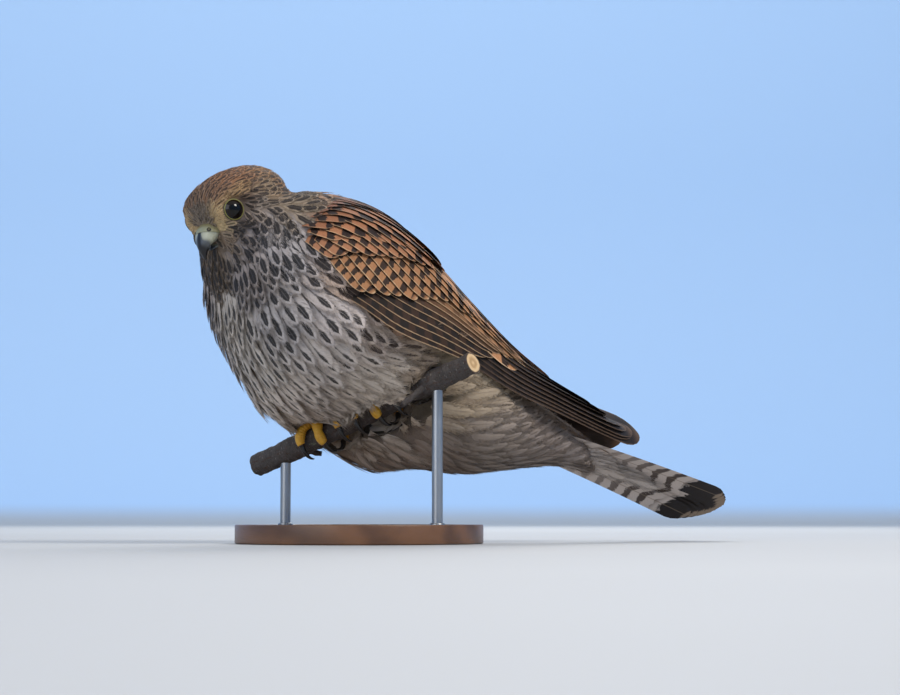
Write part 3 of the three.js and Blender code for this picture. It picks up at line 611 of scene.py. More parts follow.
def placed(name, data, at, ahead):
    holder = bpy.data.objects.new(name, data)
    holder.location = at
    holder.rotation_euler = Vector(ahead).to_track_quat("-Z", "Y").to_euler()
    bpy.context.scene.collection.objects.link(holder)
    return holder


def set_camera():
    away = aimed(turned(2, CAMERA_TURN), np.array([-math.sin(CAMERA_SIDE), math.cos(CAMERA_SIDE), 0.0]))
    data = bpy.data.cameras.new("view")
    data.lens, data.sensor_width, data.sensor_fit = LENS, SENSOR, "HORIZONTAL"
    data.clip_start, data.clip_end = 0.01, 50
    ahead = (*(away[:2] * math.cos(CAMERA_RISE)), math.sin(CAMERA_RISE))
    bpy.context.scene.camera = placed("view", data, CAMERA_AT, ahead)


def set_lights():
    for name, at, target, size, power, colour in LAMPS:
        data = bpy.data.lights.new(name, "AREA")
        data.shape = "RECTANGLE"
        data.size = data.size_y = size
        data.energy, data.color = power, colour
        placed(name, data, at, Vector(target) - Vector(at))
    world = bpy.data.worlds.new("studio")
    world.use_nodes = True
    background = world.node_tree.nodes["Background"].inputs
    background[0].default_value, background[1].default_value = WORLD_COLOUR, WORLD_STRENGTH
    bpy.context.scene.world = world
    bpy.context.scene.view_settings.view_transform = "Standard"


def lay_floor():
    """A round floor that curves up into a wall."""
    choose()
    at = (0, 0, -0.0002)
    bpy.ops.mesh.primitive_circle_add(vertices=128, radius=FLOOR_RADIUS, fill_type="NGON", location=at)
    floor = named("studio_floor")
    turns = [math.pi / 2 * k / CURVE_STEPS for k in range(CURVE_STEPS + 1)]
    with edit_mode(floor):
        bpy.ops.mesh.select_mode(type="EDGE")
        bpy.ops.mesh.region_to_loop()
        for last, turn in zip(turns, turns[1:]):
            rise = WALL_CURVE * (math.cos(last) - math.cos(turn))
            bpy.ops.mesh.extrude_edges_move(TRANSFORM_OT_translate={"value": (0, 0, rise)})
            grow = (FLOOR_RADIUS + WALL_CURVE * math.sin(turn)) / (FLOOR_RADIUS + WALL_CURVE * math.sin(last))
            bpy.ops.transform.resize(value=(grow, grow, 1), center_override=(0, 0, 0))
        bpy.ops.mesh.extrude_edges_move(TRANSFORM_OT_translate={"value": (0, 0, WALL_HEIGHT)})
        bpy.ops.mesh.select_all(action="SELECT")
    floor.data.materials.append(floor_finish())
    smooth_shaded(floor)


set_camera()
set_lights()
lay_floor()

# ---------------------------------------------------------------- the main forms


def inner_share(share, rings):
    return np.clip((share * rings - 1) / (rings - 2), 0, 1)


def lofted(stations, turn, share, rings, power=1.0, grow=0.0):
    """Points round stations of [ridge y, ridge z, keel y, keel z, half width], and each one's share and depth."""
    inner = inner_share(share, rings)
    ridge_y, ridge_z, keel_y, keel_z, half = through(stations, inner, keyed=False).T
    cap = ((share > 0) & (share < 1)).astype(float)
    angle = turn * 2 * math.pi
    across, deep = (np.sign(v) * np.abs(v) ** power for v in (np.sin(angle), np.cos(angle)))
    reach = cap * (1 + 2 * grow / np.hypot(ridge_y - keel_y, ridge_z - keel_z)) * 0.5
    y = (ridge_y + keel_y) / 2 + (ridge_y - keel_y) * deep * reach
    z = (ridge_z + keel_z) / 2 + (ridge_z - keel_z) * deep * reach
    return cap * (half + grow) * across, y, z, inner, deep


def body_form(turn, share):
    x, y, z, *_ = lofted(TORSO, turn, share, 72, TORSO_SQUARENESS)
    low = ease((DRAPE_TOP - z) / DRAPE_TOP) * ease((DRAPE_BACK + DRAPE_EASE - y) / DRAPE_EASE)
    z = z + low * (DRAPE_SLOPE * x - DRAPE_CURVE * np.maximum(0, -x - DRAPE_FROM) ** 2)
    return put(BIRD, np.stack([x, y, z], 1))


def head_form(turn, share):
    way = ways_round(turn, share)[:, [1, 2, 0]]
    front, above = way[:, 1] > 0, way[:, 2] > 0
    power = np.where(front, 2.9, 2.0)
    total = np.abs(way[:, 1]) ** power + np.hypot(way[:, 0], way[:, 2]) ** power
    half = np.where(front, HEAD_FRONT, HEAD_BACK), np.where(above, HEAD_UP, HEAD_DOWN)
    half = np.stack([np.full(len(way), HEAD_SIDE), *half], 1)
    point = way * (total ** (-1 / power))[:, None] * half + HEAD_MIDDLE
    spot = np.concatenate([np.abs(point[:, :1]), point[:, 1:]], 1)
    push = 0
    for x, y, z, stretch_y, stretch_z, high, spread in HEAD_RELIEF:
        push = push + high * bell(norm((spot - [x, y, z]) * [1, stretch_y, stretch_z]), 0, spread)
    return put(HEAD, point + unit(way / half) * push[:, None])


def thigh_form(side):
    def shape(turn, share):
        leaned = put(turned(0, math.radians(28)), ways_round(turn, share) * [13, 21, 14])
        return put(BIRD, leaned + [side * 21, 27, -5 + side * 21 * 0.3])

    return shape


def wing_sheet(along, across):
    along, across = np.broadcast_arrays(np.asarray(along, float), np.asarray(across, float))
    low, high = through(WING_LOWER, along), through(WING_UPPER, along)
    bulge = through(WING_BULGE, along) * np.sin(math.pi * np.clip(across, -0.15, 1.15))[..., None]
    return low + (high - low) * across[..., None] + unit(np.array([1, 0, 0.45])) * bulge


def wing_normal(along, across):
    along, across = np.minimum(np.asarray(along, float), 0.99), np.asarray(across)
    lengthwise = wing_sheet(along + 0.01, across) - wing_sheet(along - 0.01, across)
    crosswise = wing_sheet(along, across + 0.01) - wing_sheet(along, across - 0.01)
    return unit(np.cross(lengthwise, crosswise))


def mirrored(points, side):
    return points if side > 0 else points * [-1, 1, 1]


def in_world(centre, normal, across, side=1):
    return put(BIRD, mirrored(centre, side)), aimed(BIRD, mirrored(normal, side)), aimed(BIRD, mirrored(across, side))


def wing_core_form(side):
    def shape(turn, share):
        at = WING_CORE_END * (0.5 - 0.5 * np.cos(math.pi * share))
        rim = np.sqrt(np.maximum(0, np.sin(math.pi * share)))
        across = 0.5 + 0.47 * np.cos(turn * 2 * math.pi) * rim
        under = np.sin(turn * 2 * math.pi)
        deep = 1.6 + 9.4 * np.maximum(0, 1 - (at / WING_CORE_END) ** 2)
        drop = np.where(under > 0, 1.2 + 0.9 * (1 - under) * rim, deep * rim * -under + 2.1)
        point = wing_sheet(np.maximum(at, 0.004), across)
        return put(BIRD, mirrored(point - wing_normal(np.maximum(0.02, at), across) * drop[:, None], side))

    return shape


def tube_form(path, radius, rings, up=(0, 0, 1)):
    """A round tube along path(share), closed at both ends, with radius(share, angle)."""

    def shape(turn, share):
        inner, angle = inner_share(share, rings), turn * 2 * math.pi
        ahead = unit(path(np.minimum(inner + 0.004, 1.004)) - path(np.maximum(inner - 0.004, -0.004)))
        side = unit(np.cross(ahead, np.asarray(up, float)))
        out = side * np.cos(angle)[:, None] + np.cross(side, ahead) * np.sin(angle)[:, None]
        return path(inner) + out * (radius(inner, angle) * ((share > 0) & (share < 1)))[:, None]

    return shape


def perch_point(at):
    at = np.asarray(at, float)
    bow = 1.6 * np.sin((at - 8) / 24)
    return PERCH_AT + PERCH_ALONG * at[..., None] + bow[..., None] * [0, 0.5, 0.4]


def perch_path(share):
    return perch_point(PERCH_LOW + (PERCH_HIGH - PERCH_LOW) * share)


def perch_reach(points):
    """How far along the perch points lie."""
    return (points - perch_point(0.0)) @ PERCH_ALONG


def off_perch(points):
    return points - perch_point(perch_reach(points))


def off_eye(points, eye):
    """How far points lie out of the head along an eye's axis, and their offset from that axis."""
    centre, out = eye
    deep = (points - centre) @ out
    return deep, points - centre - deep[:, None] * out


EYES = [(put(HEAD, EYE_AT * [s, 1, 1]), aimed(HEAD, unit(EYE_OUT * [s, 1, 1]))) for s in (1, -1)]
PERCH_FORWARD = -unit(np.cross([0, 0, 1], PERCH_ALONG))
PERCH_RISE = unit(np.cross(PERCH_FORWARD, PERCH_ALONG))
PERCH_RISE = PERCH_RISE * np.sign(PERCH_RISE[2])


def toe_point(foot, toe, share, radius):
    _, side, splay, reach, start = toe
    angle = np.radians(start - reach * np.asarray(share, float))[..., None]
    around = PERCH_FORWARD * np.cos(angle) + PERCH_RISE * np.sin(angle)
    drift = side + splay * np.sin(math.pi / 2 * np.minimum(1, np.asarray(share) * 1.2))
    return perch_point(foot + drift) + around * np.asarray(radius)[..., None]


# The first voxels join the parts, the finer ones follow the cuts, in metres
JOIN_VOXEL, CUT_VOXEL = 0.0013, 0.0012
FOOT_ROOM = 15


def build_skin():
    """One closed skin for head, neck, body, thighs and the flesh of the wings, with room for perch and feet."""
    parts = [ball("skin", 96, 72, body_form), ball("skin_head", 96, 64, head_form)]
    parts += [ball("skin_thigh", 48, 32, thigh_form(side)) for side in (1, -1)]
    parts += [ball("skin_wing", 64, 48, wing_core_form(side)) for side in (1, -1)]
    skin = joined("down_skin", parts)
    apply(skin, "REMESH", mode="VOXEL", voxel_size=JOIN_VOXEL)
    rooms = [ball("room", 32, 24, tube_form(perch_path, lambda s, a: PERCH_RADIUS + 1.2, 24))]
    for foot in (FEET_APART, -FEET_APART):

        def path(s, foot=foot):
            return perch_point(foot - FOOT_ROOM + 2 * FOOT_ROOM * s)

        def fist(s, a):
            return 12.2 * np.sin(math.pi * (0.12 + 0.76 * s)) ** 0.4

        rooms.append(ball("room", 32, 16, tube_form(path, fist, 16)))
    for room in rooms:
        apply(skin, "BOOLEAN", operation="DIFFERENCE", solver="MANIFOLD", object=room)
        bpy.data.objects.remove(room)
    apply(skin, "REMESH", mode="VOXEL", voxel_size=CUT_VOXEL)
    apply(skin, "SMOOTH", factor=0.5, iterations=12)
    points = points_of(skin)
    # Round each eye the skin is levelled: what stands above the opening sinks, what lies below it rises
    for eye in EYES:
        deep, radial = off_eye(points, eye)
        near = norm(radial)
        slope = np.maximum(0, near - 5.4)
        over = np.where((near < 11) & (deep > 0), np.maximum(0, deep - 3.0 - 0.9 * slope), 0)
        under = np.where((near < 9) & (deep > -2), np.maximum(0, 2.75 - 0.85 * slope - deep), 0)
        points = points - eye[1] * (over * ease((11 - near) / 3) - under * ease((9 - near) / 2))[:, None]
    set_points(skin, points)
    return skin


# ---------------------------------------------------------------- the plumage chart

# Each row: x, y, z, reach, spacing, length, width, rise, ground, mark and edge colour, edge share,
# streak half width, streak start or bars a feather, fringe. The head's rows are in the head's own frame.
CHART = {
    "head": [
        [0, 9.5, 3.5, 3.8, 1.2, 4.4, 1.7, 0.35, "8d7f70", "4a3d35", "a29483", 0.06, 0.34, 0.3, 0.25],
        [0, 6, 10, 4, 1.6, 7.0, 2.4, 0.49, "967962", "453631", "a1846c", 0.06, 0.44, 0.2, 0.25],
        [9, 4, 10.5, 4, 1.6, 7.0, 2.4, 0.49, "98765e", "453631", "a68263", 0.06, 0.44, 0.2, 0.25],
        [0, -5, 16, 6, 2.0, 9.6, 3.1, 0.63, "a67a5a", "382a26", "b48a66", 0.06, 0.48, 0.2, 0.25],
        [12, -5, 14, 5, 2.0, 9.6, 3.1, 0.63, "a67b5c", "3a2c27", "b88e62", 0.06, 0.48, 0.2, 0.25],
        [0, -25, 14, 8, 2.5, 10.5, 4.2, 0.77, "ad825e", "3c2e29", "bd9669", 0.06, 0.5, 0.3, 0.25],
        [16, -22, 9, 6, 2.5, 10.5, 4.2, 0.77, "a5805c", "3f322d", "bf9f76", 0.06, 0.5, 0.3, 0.25],
        [13.5, 6, 7.4, 2.2, 1.2, 4.6, 1.8, 0.49, "ad9069", "6a5238", "c4a87e", 0.06, 0.3, 0.3, 0.25],
        [16.5, -2, 8.6, 2.6, 1.4, 6.0, 2.1, 0.56, "aa8b64", "5e4632", "c2a378", 0.06, 0.36, 0.3, 0.25],
        [9, 9, 1.5, 3, 1.1, 3.4, 1.5, 0.35, "cfb388", "86724f", "d5bb92", 0.06, 0.15, 0.3, 0.25],
        [8, 9.5, -2, 2.4, 1.0, 2.8, 1.4, 0.28, "cfb68a", "8b7e52", "c8b98e", 0.06, 0.0, 0.3, 0.25],
        [18.5, -6, 3.5, 2.6, 1.5, 5.4, 2.1, 0.49, "64534a", "2a211c", "7d6652", 0.06, 0.6, 0.2, 0.25],
        [19, -8, -1.5, 3.4, 1.5, 5.6, 2.1, 0.56, "a29385", "423932", "ab9e90", 0.06, 0.45, 0.2, 0.25],
        [21, -15, 2, 5, 1.9, 7.6, 2.8, 0.7, "a48d73", "443832", "b5a080", 0.06, 0.46, 0.2, 0.25],
        [14, 4.5, -7, 3, 1.4, 5.0, 2.0, 0.49, "544c47", "2c2929", "6c635c", 0.045, 0.7, 0.2, 0.25],
        [17, 1, -11, 3.8, 1.6, 6.2, 2.4, 0.63, "3c3840", "17161a", "655f5c", 0.045, 0.85, 0.0, 0.4],
        [18, -3, -16, 4.4, 2.0, 8.2, 3.1, 0.77, "423e41", "1c1c20", "615c5d", 0.045, 0.74, 0.1, 0.6],
        [9, 8, -10.5, 3, 1.4, 4.8, 2.0, 0.42, "8e7b68", "463a32", "a59582", 0.06, 0.3, 0.3, 0.5],
        [20, -11, -9, 4, 1.8, 7.4, 3.0, 0.7, "6f6763", "2a272a", "928a85", 0.045, 0.72, 0.1, 0.4],
        [0, 3, -18, 6, 1.9, 8.0, 2.9, 0.84, "75604e", "2f2521", "82705f", 0.06, 0.58, 0.1, 1.0],
        [10, 1, -19, 6, 2.0, 8.4, 3.1, 0.84, "706054", "2a2222", "82746a", 0.06, 0.62, 0.1, 0.9],
    ],
    "plain": [
        [0, -84, 62, 10, 2.7, 12, 4.6, 0.96, "7a6a5a", "292321", "96866f", 0.045, 0.58, 0.35, 1.0],
        [22, -76, 60, 10, 2.9, 12.5, 5.2, 1.056, "998e88", "242428", "b6aea8", 0.036, 0.58, 0.45, 0.9],
        [30, -60, 72, 9, 3.3, 14, 6.2, 1.056, "a8a19f", "242429", "c0bab7", 0.03, 0.56, 0.5, 0.9],
        [28, -52, 88, 7, 2.7, 12, 5.0, 0.768, "8f7f6c", "332a29", "ac9b86", 0.045, 0.56, 0.4, 0.5],
        [0, -55, 100, 10, 2.8, 12, 4.8, 0.768, "a88260", "392d29", "c29e74", 0.06, 0.46, 0.4, 0.3],
        [0, -80, 46, 12, 3.7, 16, 6.6, 1.248, "c0b5a9", "29282c", "ccc2b8", 0.024, 0.38, 0.62, 1.0],
        [30, -68, 42, 11, 4.3, 17, 7.8, 1.344, "bcb4b0", "262529", "cdc6c2", 0.018, 0.44, 0.64, 1.0],
        [0, -72, 26, 12, 4.4, 18, 7.6, 1.44, "ccc2b8", "2a292d", "d6cdc4", 0.018, 0.34, 0.71, 1.0],
        [40, -48, 42, 10, 5.4, 21, 9.8, 1.632, "c3b8b2", "292628", "d2c9c4", 0.015, 0.4, 0.7, 1.0],
        [38, -46, 22, 12, 5.4, 22, 9.6, 1.632, "d6cac0", "2e2b2b", "ddd3cb", 0.015, 0.2, 0.76, 1.0],
        [46, -30, 32, 9, 5.6, 23, 9.8, 1.632, "ccb8a8", "46342d", "decfc2", 0.045, 0.38, 0.66, 1.0],
        [44, -44, 52, 7, 4.8, 19, 8.8, 1.344, "c4ab98", "402f2a", "d9cabd", 0.03, 0.52, 0.55, 1.0],
        [0, -52, 8, 12, 4.8, 20, 8.4, 1.536, "d8cbbf", "332f2f", "e0d6cc", 0.015, 0.2, 0.74, 1.0],
        [34, -28, 4, 14, 5.2, 22, 8.8, 1.536, "d7c8b7", "403938", "dacebf", 0.018, 0.06, 0.78, 1.0],
        [44, -8, 14, 10, 5.4, 23, 8.6, 1.44, "b59f89", "5a463b", "d0bfaa", 0.045, 0.14, 0.66, 1.0],
        [40, 18, 4, 12, 5.2, 23, 8.0, 1.44, "b8a48a", "6b5746", "cfc0a7", 0.03, 0.05, 0.66, 1.0],
        [0, -15, -12, 14, 4.8, 20, 8.0, 1.536, "c3b5a6", "6b6055", "d4c8bb", 0.03, 0.0, 0.8, 1.0],
        # The next three rows, at the vent and under the tail, take the pale feathers' colour darkened by painted shade,
        # for the shade under the body and the perch.
        [20, 30, -26, 14, 4.8, 26, 6.8, 1.44, "988a7e", "6b5b49", "b3a698", 0.015, 0.05, 0.5, 1.0],
        [0, 60, -32, 16, 4.8, 28, 6.6, 1.248, "94867c", "6b5b49", "b3a69b", 0.015, 0.05, 0.5, 1.0],
        [12, 105, -26, 14, 5.0, 28, 6.6, 0.864, "988b83", "6b5b49", "b5aaa1", 0.015, 0.04, 0.5, 1.0],
    ],
    "barred": [
        [0, -34, 103, 9, 5.4, 17, 9.5, 0.864, "9a6848", "2f2427", "b08a67", 0.4, 1.0, 2.1, 0.25],
        [30, -38, 92, 8, 5.2, 16, 9.0, 0.864, "a3836a", "352b2d", "c8ae90", 0.4, 1.0, 2.1, 0.3],
        [46, -38, 62, 8, 4.8, 17, 8.4, 1.056, "b79a84", "3b2c29", "d2c0aa", 0.4, 0.9, 1.9, 0.6],
        [50, -18, 74, 14, 6.0, 18, 11, 0.768, "b1764d", "2f2425", "d3aa80", 0.4, 1.0, 2.2, 0.25],
        [56, -8, 45, 12, 6.0, 18, 11, 0.768, "b57b50", "3a2b27", "d4af85", 0.4, 1.0, 2.2, 0.25],
        [18, -8, 102, 12, 6.4, 20, 12, 0.768, "a06a48", "2c2225", "b58d68", 0.4, 1.0, 2.0, 0.25],
        [0, 20, 76, 16, 6.4, 21, 12, 0.768, "9f6a48", "2e2426", "b58d69", 0.35, 1.0, 2.2, 0.25],
        [0, 62, 32, 16, 6.4, 23, 11, 0.864, "957b65", "41342e", "c0aa8f", 0.35, 1.0, 2.4, 0.4],
        [0, 100, 4, 14, 6.4, 27, 11, 0.768, "9b7e63", "3d302a", "c2ab8c", 0.35, 1.0, 3.0, 0.3],
    ],
}
CHART_ROWS = [row for rows in CHART.values() for row in rows]
CHART_KIND = np.array([kind for kind, rows in CHART.items() for _ in rows])
CHART_IN_HEAD, CHART_BARRED = CHART_KIND == "head", (CHART_KIND == "barred").astype(float)
CHART_PLACES = np.array([row[:3] for row in CHART_ROWS], float)
CHART_REACH = np.array([row[3] for row in CHART_ROWS], float)
CHART_SIZES = np.array([row[4:8] + row[11:15] for row in CHART_ROWS], float)
CHART_COLOURS = np.array([[paint(row[8]), paint(row[9]) * 0.45, paint(row[10])] for row in CHART_ROWS])


def in_lots(work, points, lot=20000):
    """Runs work on so many points at a time, to spare memory."""
    return np.concatenate([work(points[i : i + lot]) for i in range(0, len(points), lot)])


def chart_shares(points):
    spots = [taken(matrix, points) for matrix in (HEAD, BIRD)]
    in_head, in_bird = (norm(np.concatenate([np.abs(s[:, :1]), s[:, 1:]], 1)[:, None] - CHART_PLACES) for s in spots)
    weight = 1 / ((np.where(CHART_IN_HEAD, in_head, in_bird) / CHART_REACH) ** 5 + 0.004)
    return weight / weight.sum(1, keepdims=True)


def charted(points):
    """For each point: the shares of the chart's rows that a feather rooted there takes after."""
    return in_lots(chart_shares, points)


def lie_guides():
    """Places on the bird with the way its feathers lie there, and their reach, in the world's frame."""
    places, ways = [], []
    for k, row in enumerate(TORSO):
        run = TORSO[min(len(TORSO) - 1, k + 1)] - TORSO[max(0, k - 1)]
        places += [[0, *row[:2]], [0, *row[2:4]]]
        ways += [[0, *run[:2]], [0, *run[2:4]]]
        fall = ease((5.5 - k) / 4)
        for side in (-1, 1):
            places.append([side * row[4], *(row[:2] + row[2:4]) / 2])
            back = unit(np.array([side * run[4], *(run[:2] + run[2:4]) / 2]))
            ways.append(back * (1 - fall) + unit(np.array([0, 8.0, -30.0]) * fall + 1e-9))
    guides = [(put(BIRD, np.array(places)), aimed(BIRD, unit(np.array(ways))), 13.0)]
    grid = [(a, c) for a in (0.03, 0.12, 0.22, 0.34, 0.46) for c in (0.08, 0.35, 0.65, 0.92)]
    along, across = np.array(grid).T
    runs = unit(wing_sheet(along + 0.02, across) - wing_sheet(along - 0.01, across))
    for side in (1, -1):
        guides.append((*in_world(wing_sheet(along, across), runs, runs, side)[:2], 9.0))
    tilt, angle = np.meshgrid(np.linspace(0.25, 2.5, 8), np.linspace(0, 2 * math.pi, 14)[:-1])
    way = ways_round(angle.ravel() / (2 * math.pi), tilt.ravel() / math.pi)[:, [1, 2, 0]]
    half = np.where(way[:, 1:2] > 0, [[HEAD_SIDE, HEAD_FRONT, HEAD_UP]], [[HEAD_SIDE, HEAD_BACK, HEAD_UP]])
    spots = way * half + HEAD_MIDDLE
    low = ease((-spots[:, 2] - 3) / 9) * ease((np.abs(spots[:, 0]) - 4) / 8)
    runs = unit(spots - [0, 13, -5.0]) + [0, -0.7, -0.1] + low[:, None] * [0, 0.1, -1.5]
    guides.append((put(HEAD, spots), aimed(HEAD, unit(runs)), 6.0))
    places, ways, reach = zip(*guides)
    return np.concatenate(places), unit(np.concatenate(ways)), np.repeat(reach, [len(p) for p in places])


GUIDE_PLACES, GUIDE_WAYS, GUIDE_REACH = lie_guides()


def lie_at(points):
    weight = 1 / ((norm(points[:, None] - GUIDE_PLACES) / GUIDE_REACH) ** 4 + 0.02)
    return unit((weight[..., None] * GUIDE_WAYS).sum(1))


WING_GRID = np.array([(a, c) for a in np.linspace(0, 1, 61) for c in np.linspace(0, 1, 21)])
WING_SPOTS = wing_sheet(*WING_GRID.T)
WING_TREE = KDTree(len(WING_SPOTS))
for number, spot in enumerate(WING_SPOTS):
    WING_TREE.insert(spot, number)
WING_TREE.balance()


def wing_shares(points):
    """The nearest share along and across the folded wing, and the height above it, on either side."""
    found = taken(BIRD, points)
    found[:, 0] = np.abs(found[:, 0])
    hits = np.array([WING_TREE.find(p)[1] for p in found])
    along, across = WING_GRID[hits].T
    return along, across, ((found - WING_SPOTS[hits]) * wing_normal(along, across)).sum(1)


# ---------------------------------------------------------------- feathers

BAKE_PATCH = 0.003
COLOUR_MARKS, SIZE_MARKS = ("ground", "mark", "rim"), ("look", "measure")


def tiered(steps, bunching):
    """Shares from root to tip, closer together towards the tip."""
    return 1 - (1 - np.linspace(0, 1, steps)) ** bunching


def marked(count, ground, mark, rim, streak, bars, long, width, edged):
    """The colours and sizes that the material reads, for each feather, with a chance number of its own."""
    colours = [np.broadcast_to(c, (count, 3)) for c in (ground, mark, rim)]
    rows = [(streak, bars, chance.random(count)), (long, width, edged)]
    sizes = [np.stack([np.broadcast_to(one, count) for one in row], 1) for row in rows]
    return dict(zip(COLOUR_MARKS + SIZE_MARKS, colours + sizes))


def vane_template(rows, columns):
    """Faces and rim of one closed vane of rows by columns, its two sides meeting at the rim."""
    top = np.arange(rows * columns).reshape(rows, columns)
    rim = np.ones((rows, columns), bool)
    rim[1:-1, 1:-1] = False
    bottom = top.copy()
    bottom[~rim] = rows * columns + np.arange((~rim).sum())
    quads = []
    for i in range(rows - 1):
        for k in range(columns - 1):
            quads.append([top[i, k], top[i, k + 1], top[i + 1, k + 1], top[i + 1, k]])
            quads.append([bottom[i, k], bottom[i + 1, k], bottom[i + 1, k + 1], bottom[i, k + 1]])
    return np.array(quads), rim


def mesh_from(name, points, faces, vane, bake, marks):
    """A mesh from arrays. points: pieces x points x 3; faces: those of one piece; marks: one row a piece."""
    count, per = points.shape[:2]
    faces = (faces[None] + np.arange(count)[:, None, None] * per).reshape(-1, faces.shape[1])
    mesh = bpy.data.meshes.new(name)
    mesh.vertices.add(count * per)
    mesh.vertices.foreach_set("co", (points * MM).astype(np.float32).ravel())
    mesh.loops.add(faces.size)
    mesh.loops.foreach_set("vertex_index", faces.astype(np.int32).ravel())
    mesh.polygons.add(len(faces))
    mesh.polygons.foreach_set("loop_start", np.arange(0, faces.size, faces.shape[1], dtype=np.int32))
    mesh.polygons.foreach_set("loop_total", np.full(len(faces), faces.shape[1], np.int32))
    mesh.update(calc_edges=True)
    for key, rows in (("Vane", vane), ("OFBake", bake)):
        layer = mesh.uv_layers.new(name=key)
        layer.data.foreach_set("uv", rows.reshape(-1, 2)[faces.ravel()].astype(np.float32).ravel())
    piece = bpy.data.objects.new(name, mesh)
    bpy.context.scene.collection.objects.link(piece)
    for key in COLOUR_MARKS:
        note(piece, key, np.repeat(with_alpha(marks[key]), per, 0))
    for key in SIZE_MARKS:
        note(piece, key, np.repeat(marks[key], per, 0))
    return piece


def vane_mesh(name, group, rows_at, marks, patch, camber, thick, columns):
    """Many feathers as one piece. group: their middle lines, normals and sides, as feathers x rows x 3, and their
    half widths and lifts, as feathers x rows; patch: each one's place on the unwrapped skin."""
    centre, normal, side, half, lift = group
    count, rows = half.shape
    quads, rim = vane_template(rows, columns)
    across = np.linspace(-1, 1, columns)
    camber, thick = (np.broadcast_to(v, count)[:, None, None] for v in (camber, thick))
    high = lift[:, :, None] - camber * half[:, :, None] * across**2
    flat = centre[:, :, None] + side[:, :, None] * (half[:, :, None] * across)[..., None]
    flat = flat + normal[:, :, None] * high[..., None]
    body = (thick / 2 * (1 - across**2 * 0.8))[..., None] * normal[:, :, None]
    over, under = flat + body * (~rim)[None, ..., None], (flat - body)[:, ~rim]
    points = np.concatenate([over.reshape(count, -1, 3), under], 1)
    grid = [np.broadcast_to(v, (rows, columns)) for v in ((across + 1) / 2, rows_at[:, None])]
    shares = np.stack([np.concatenate([v.ravel(), v[~rim]]) for v in grid], 1)
    bake = patch[:, None] + (shares - 0.5) * BAKE_PATCH
    piece = mesh_from(name, points, quads, np.tile(shares, (count, 1)), bake, marks)
    smooth_shaded(piece)
    ends = fetched(piece.data.edges, "vertices", 2, np.int32)
    at_rim = np.tile(np.concatenate([rim.ravel(), np.zeros((~rim).sum(), bool)]), count)[ends].all(1)
    piece.data.attributes.new("sharp_edge", "BOOLEAN", "EDGE").data.foreach_set("value", at_rim)
    return piece


def fringe_mesh(name, group, rows_at, marks, patch, share, number):
    """Fine loose barbs along the far edges of feathers, each a thin three-sided spike."""
    centre = group[0]
    pick = np.repeat(np.arange(len(centre)), number)
    pick = pick[chance.random(len(pick)) < share[pick]]
    total = len(pick)
    at = 0.3 + 0.7 * chance.random(total) ** 0.75
    place = np.interp(at, rows_at, np.arange(len(rows_at)))
    low = np.minimum(place.astype(int), len(rows_at) - 2)
    part = (place - low)[:, None]
    values = [v.reshape(*centre.shape[:2], -1) for v in group]
    mid, up, out, wide, high = (v[pick, low] * (1 - part) + v[pick, low + 1] * part for v in values)
    up, out = unit(up), unit(out)
    hand = np.where(chance.random(total) < 0.5, -1.0, 1.0)[:, None]
    inner = chance.uniform(0.2, 0.98, total)[:, None]
    ahead = unit(np.cross(out, up))
    ahead = ahead * np.sign((ahead * (centre[pick, -1] - centre[pick, 0])).sum(1))[:, None]
    lean = chance.uniform(0.05, 0.6, total)[:, None]
    way = unit(ahead + out * (hand * lean) + up * chance.normal(0.015, 0.035, (total, 1)))
    feather = marks["measure"][pick, :1]
    long = feather * chance.uniform(0.12, 0.3, total)[:, None]
    thin = chance.uniform(0.1, 0.19, total)[:, None] * BARB_THINNESS
    root = mid + out * (hand * inner * wide) + up * (high + 0.1)
    across = unit(np.cross(way, up))
    points = np.stack([root + across * thin, root - across * thin, root - up * thin * 0.8, root + way * long], 1)
    u = 0.5 + 0.5 * hand * inner * np.ones(4)
    v = np.clip(at[:, None] + 0.6 * np.array([0, 0, 0, 1.0]) * long / feather, 0, 1)
    vane = np.stack([u, v], 2)
    tris = np.array([[0, 1, 3], [1, 2, 3], [2, 0, 3], [0, 2, 1]])
    marks = {key: value[pick] for key, value in marks.items()}
    return mesh_from(name, points, tris, vane, patch[pick][:, None] + (vane - 0.5) * BAKE_PATCH, marks)


def settle(piece):
    """Moves a piece's points off the open eyes and out of the perch."""
    points = points_of(piece)
    for eye in EYES:
        deep, radial = off_eye(points, eye)
        push = np.where((deep > -1) & (deep < 14), np.maximum(0, EYE_CLEAR - norm(radial)), 0)
        points = points + unit(radial) * push[:, None]
    reach, radial = perch_reach(points), off_perch(points)
    radial -= (radial @ PERCH_ALONG)[:, None] * PERCH_ALONG
    inside = (reach > PERCH_LOW - 2) & (reach < PERCH_HIGH + 2)
    push = np.where(inside, np.maximum(0, PERCH_RADIUS + BARK_RELIEF - norm(radial)), 0)
    set_points(piece, points + unit(radial) * push[:, None])


def unwrapped(points):
    """Each place on an unwrap of the body: round it, and along it from bill to tail."""
    mids = np.concatenate([[[-96, 74], [-84, 80]], (TORSO[:, :2] + TORSO[:, 2:4]) / 2, [[160, -34]]])
    lengths = np.concatenate([[0], np.cumsum(norm(np.diff(mids, axis=0)))])
    dense = np.linspace(0, lengths[-1], 300)
    line = np.stack([np.interp(dense, lengths, mids[:, k]) for k in (0, 1)], 1)
    found = taken(BIRD, points)
    hit = norm(found[:, None, 1:] - line).argmin(1)
    way = unit(np.gradient(line, axis=0))[hit]
    rel = found[:, 1:] - line[hit]
    turn = np.arctan2(found[:, 0], rel[:, 0] * -way[:, 1] + rel[:, 1] * way[:, 0]) / (2 * math.pi) + 0.5
    return 0.01 + 0.98 * np.stack([turn, dense[hit] / lengths[-1]], 1)


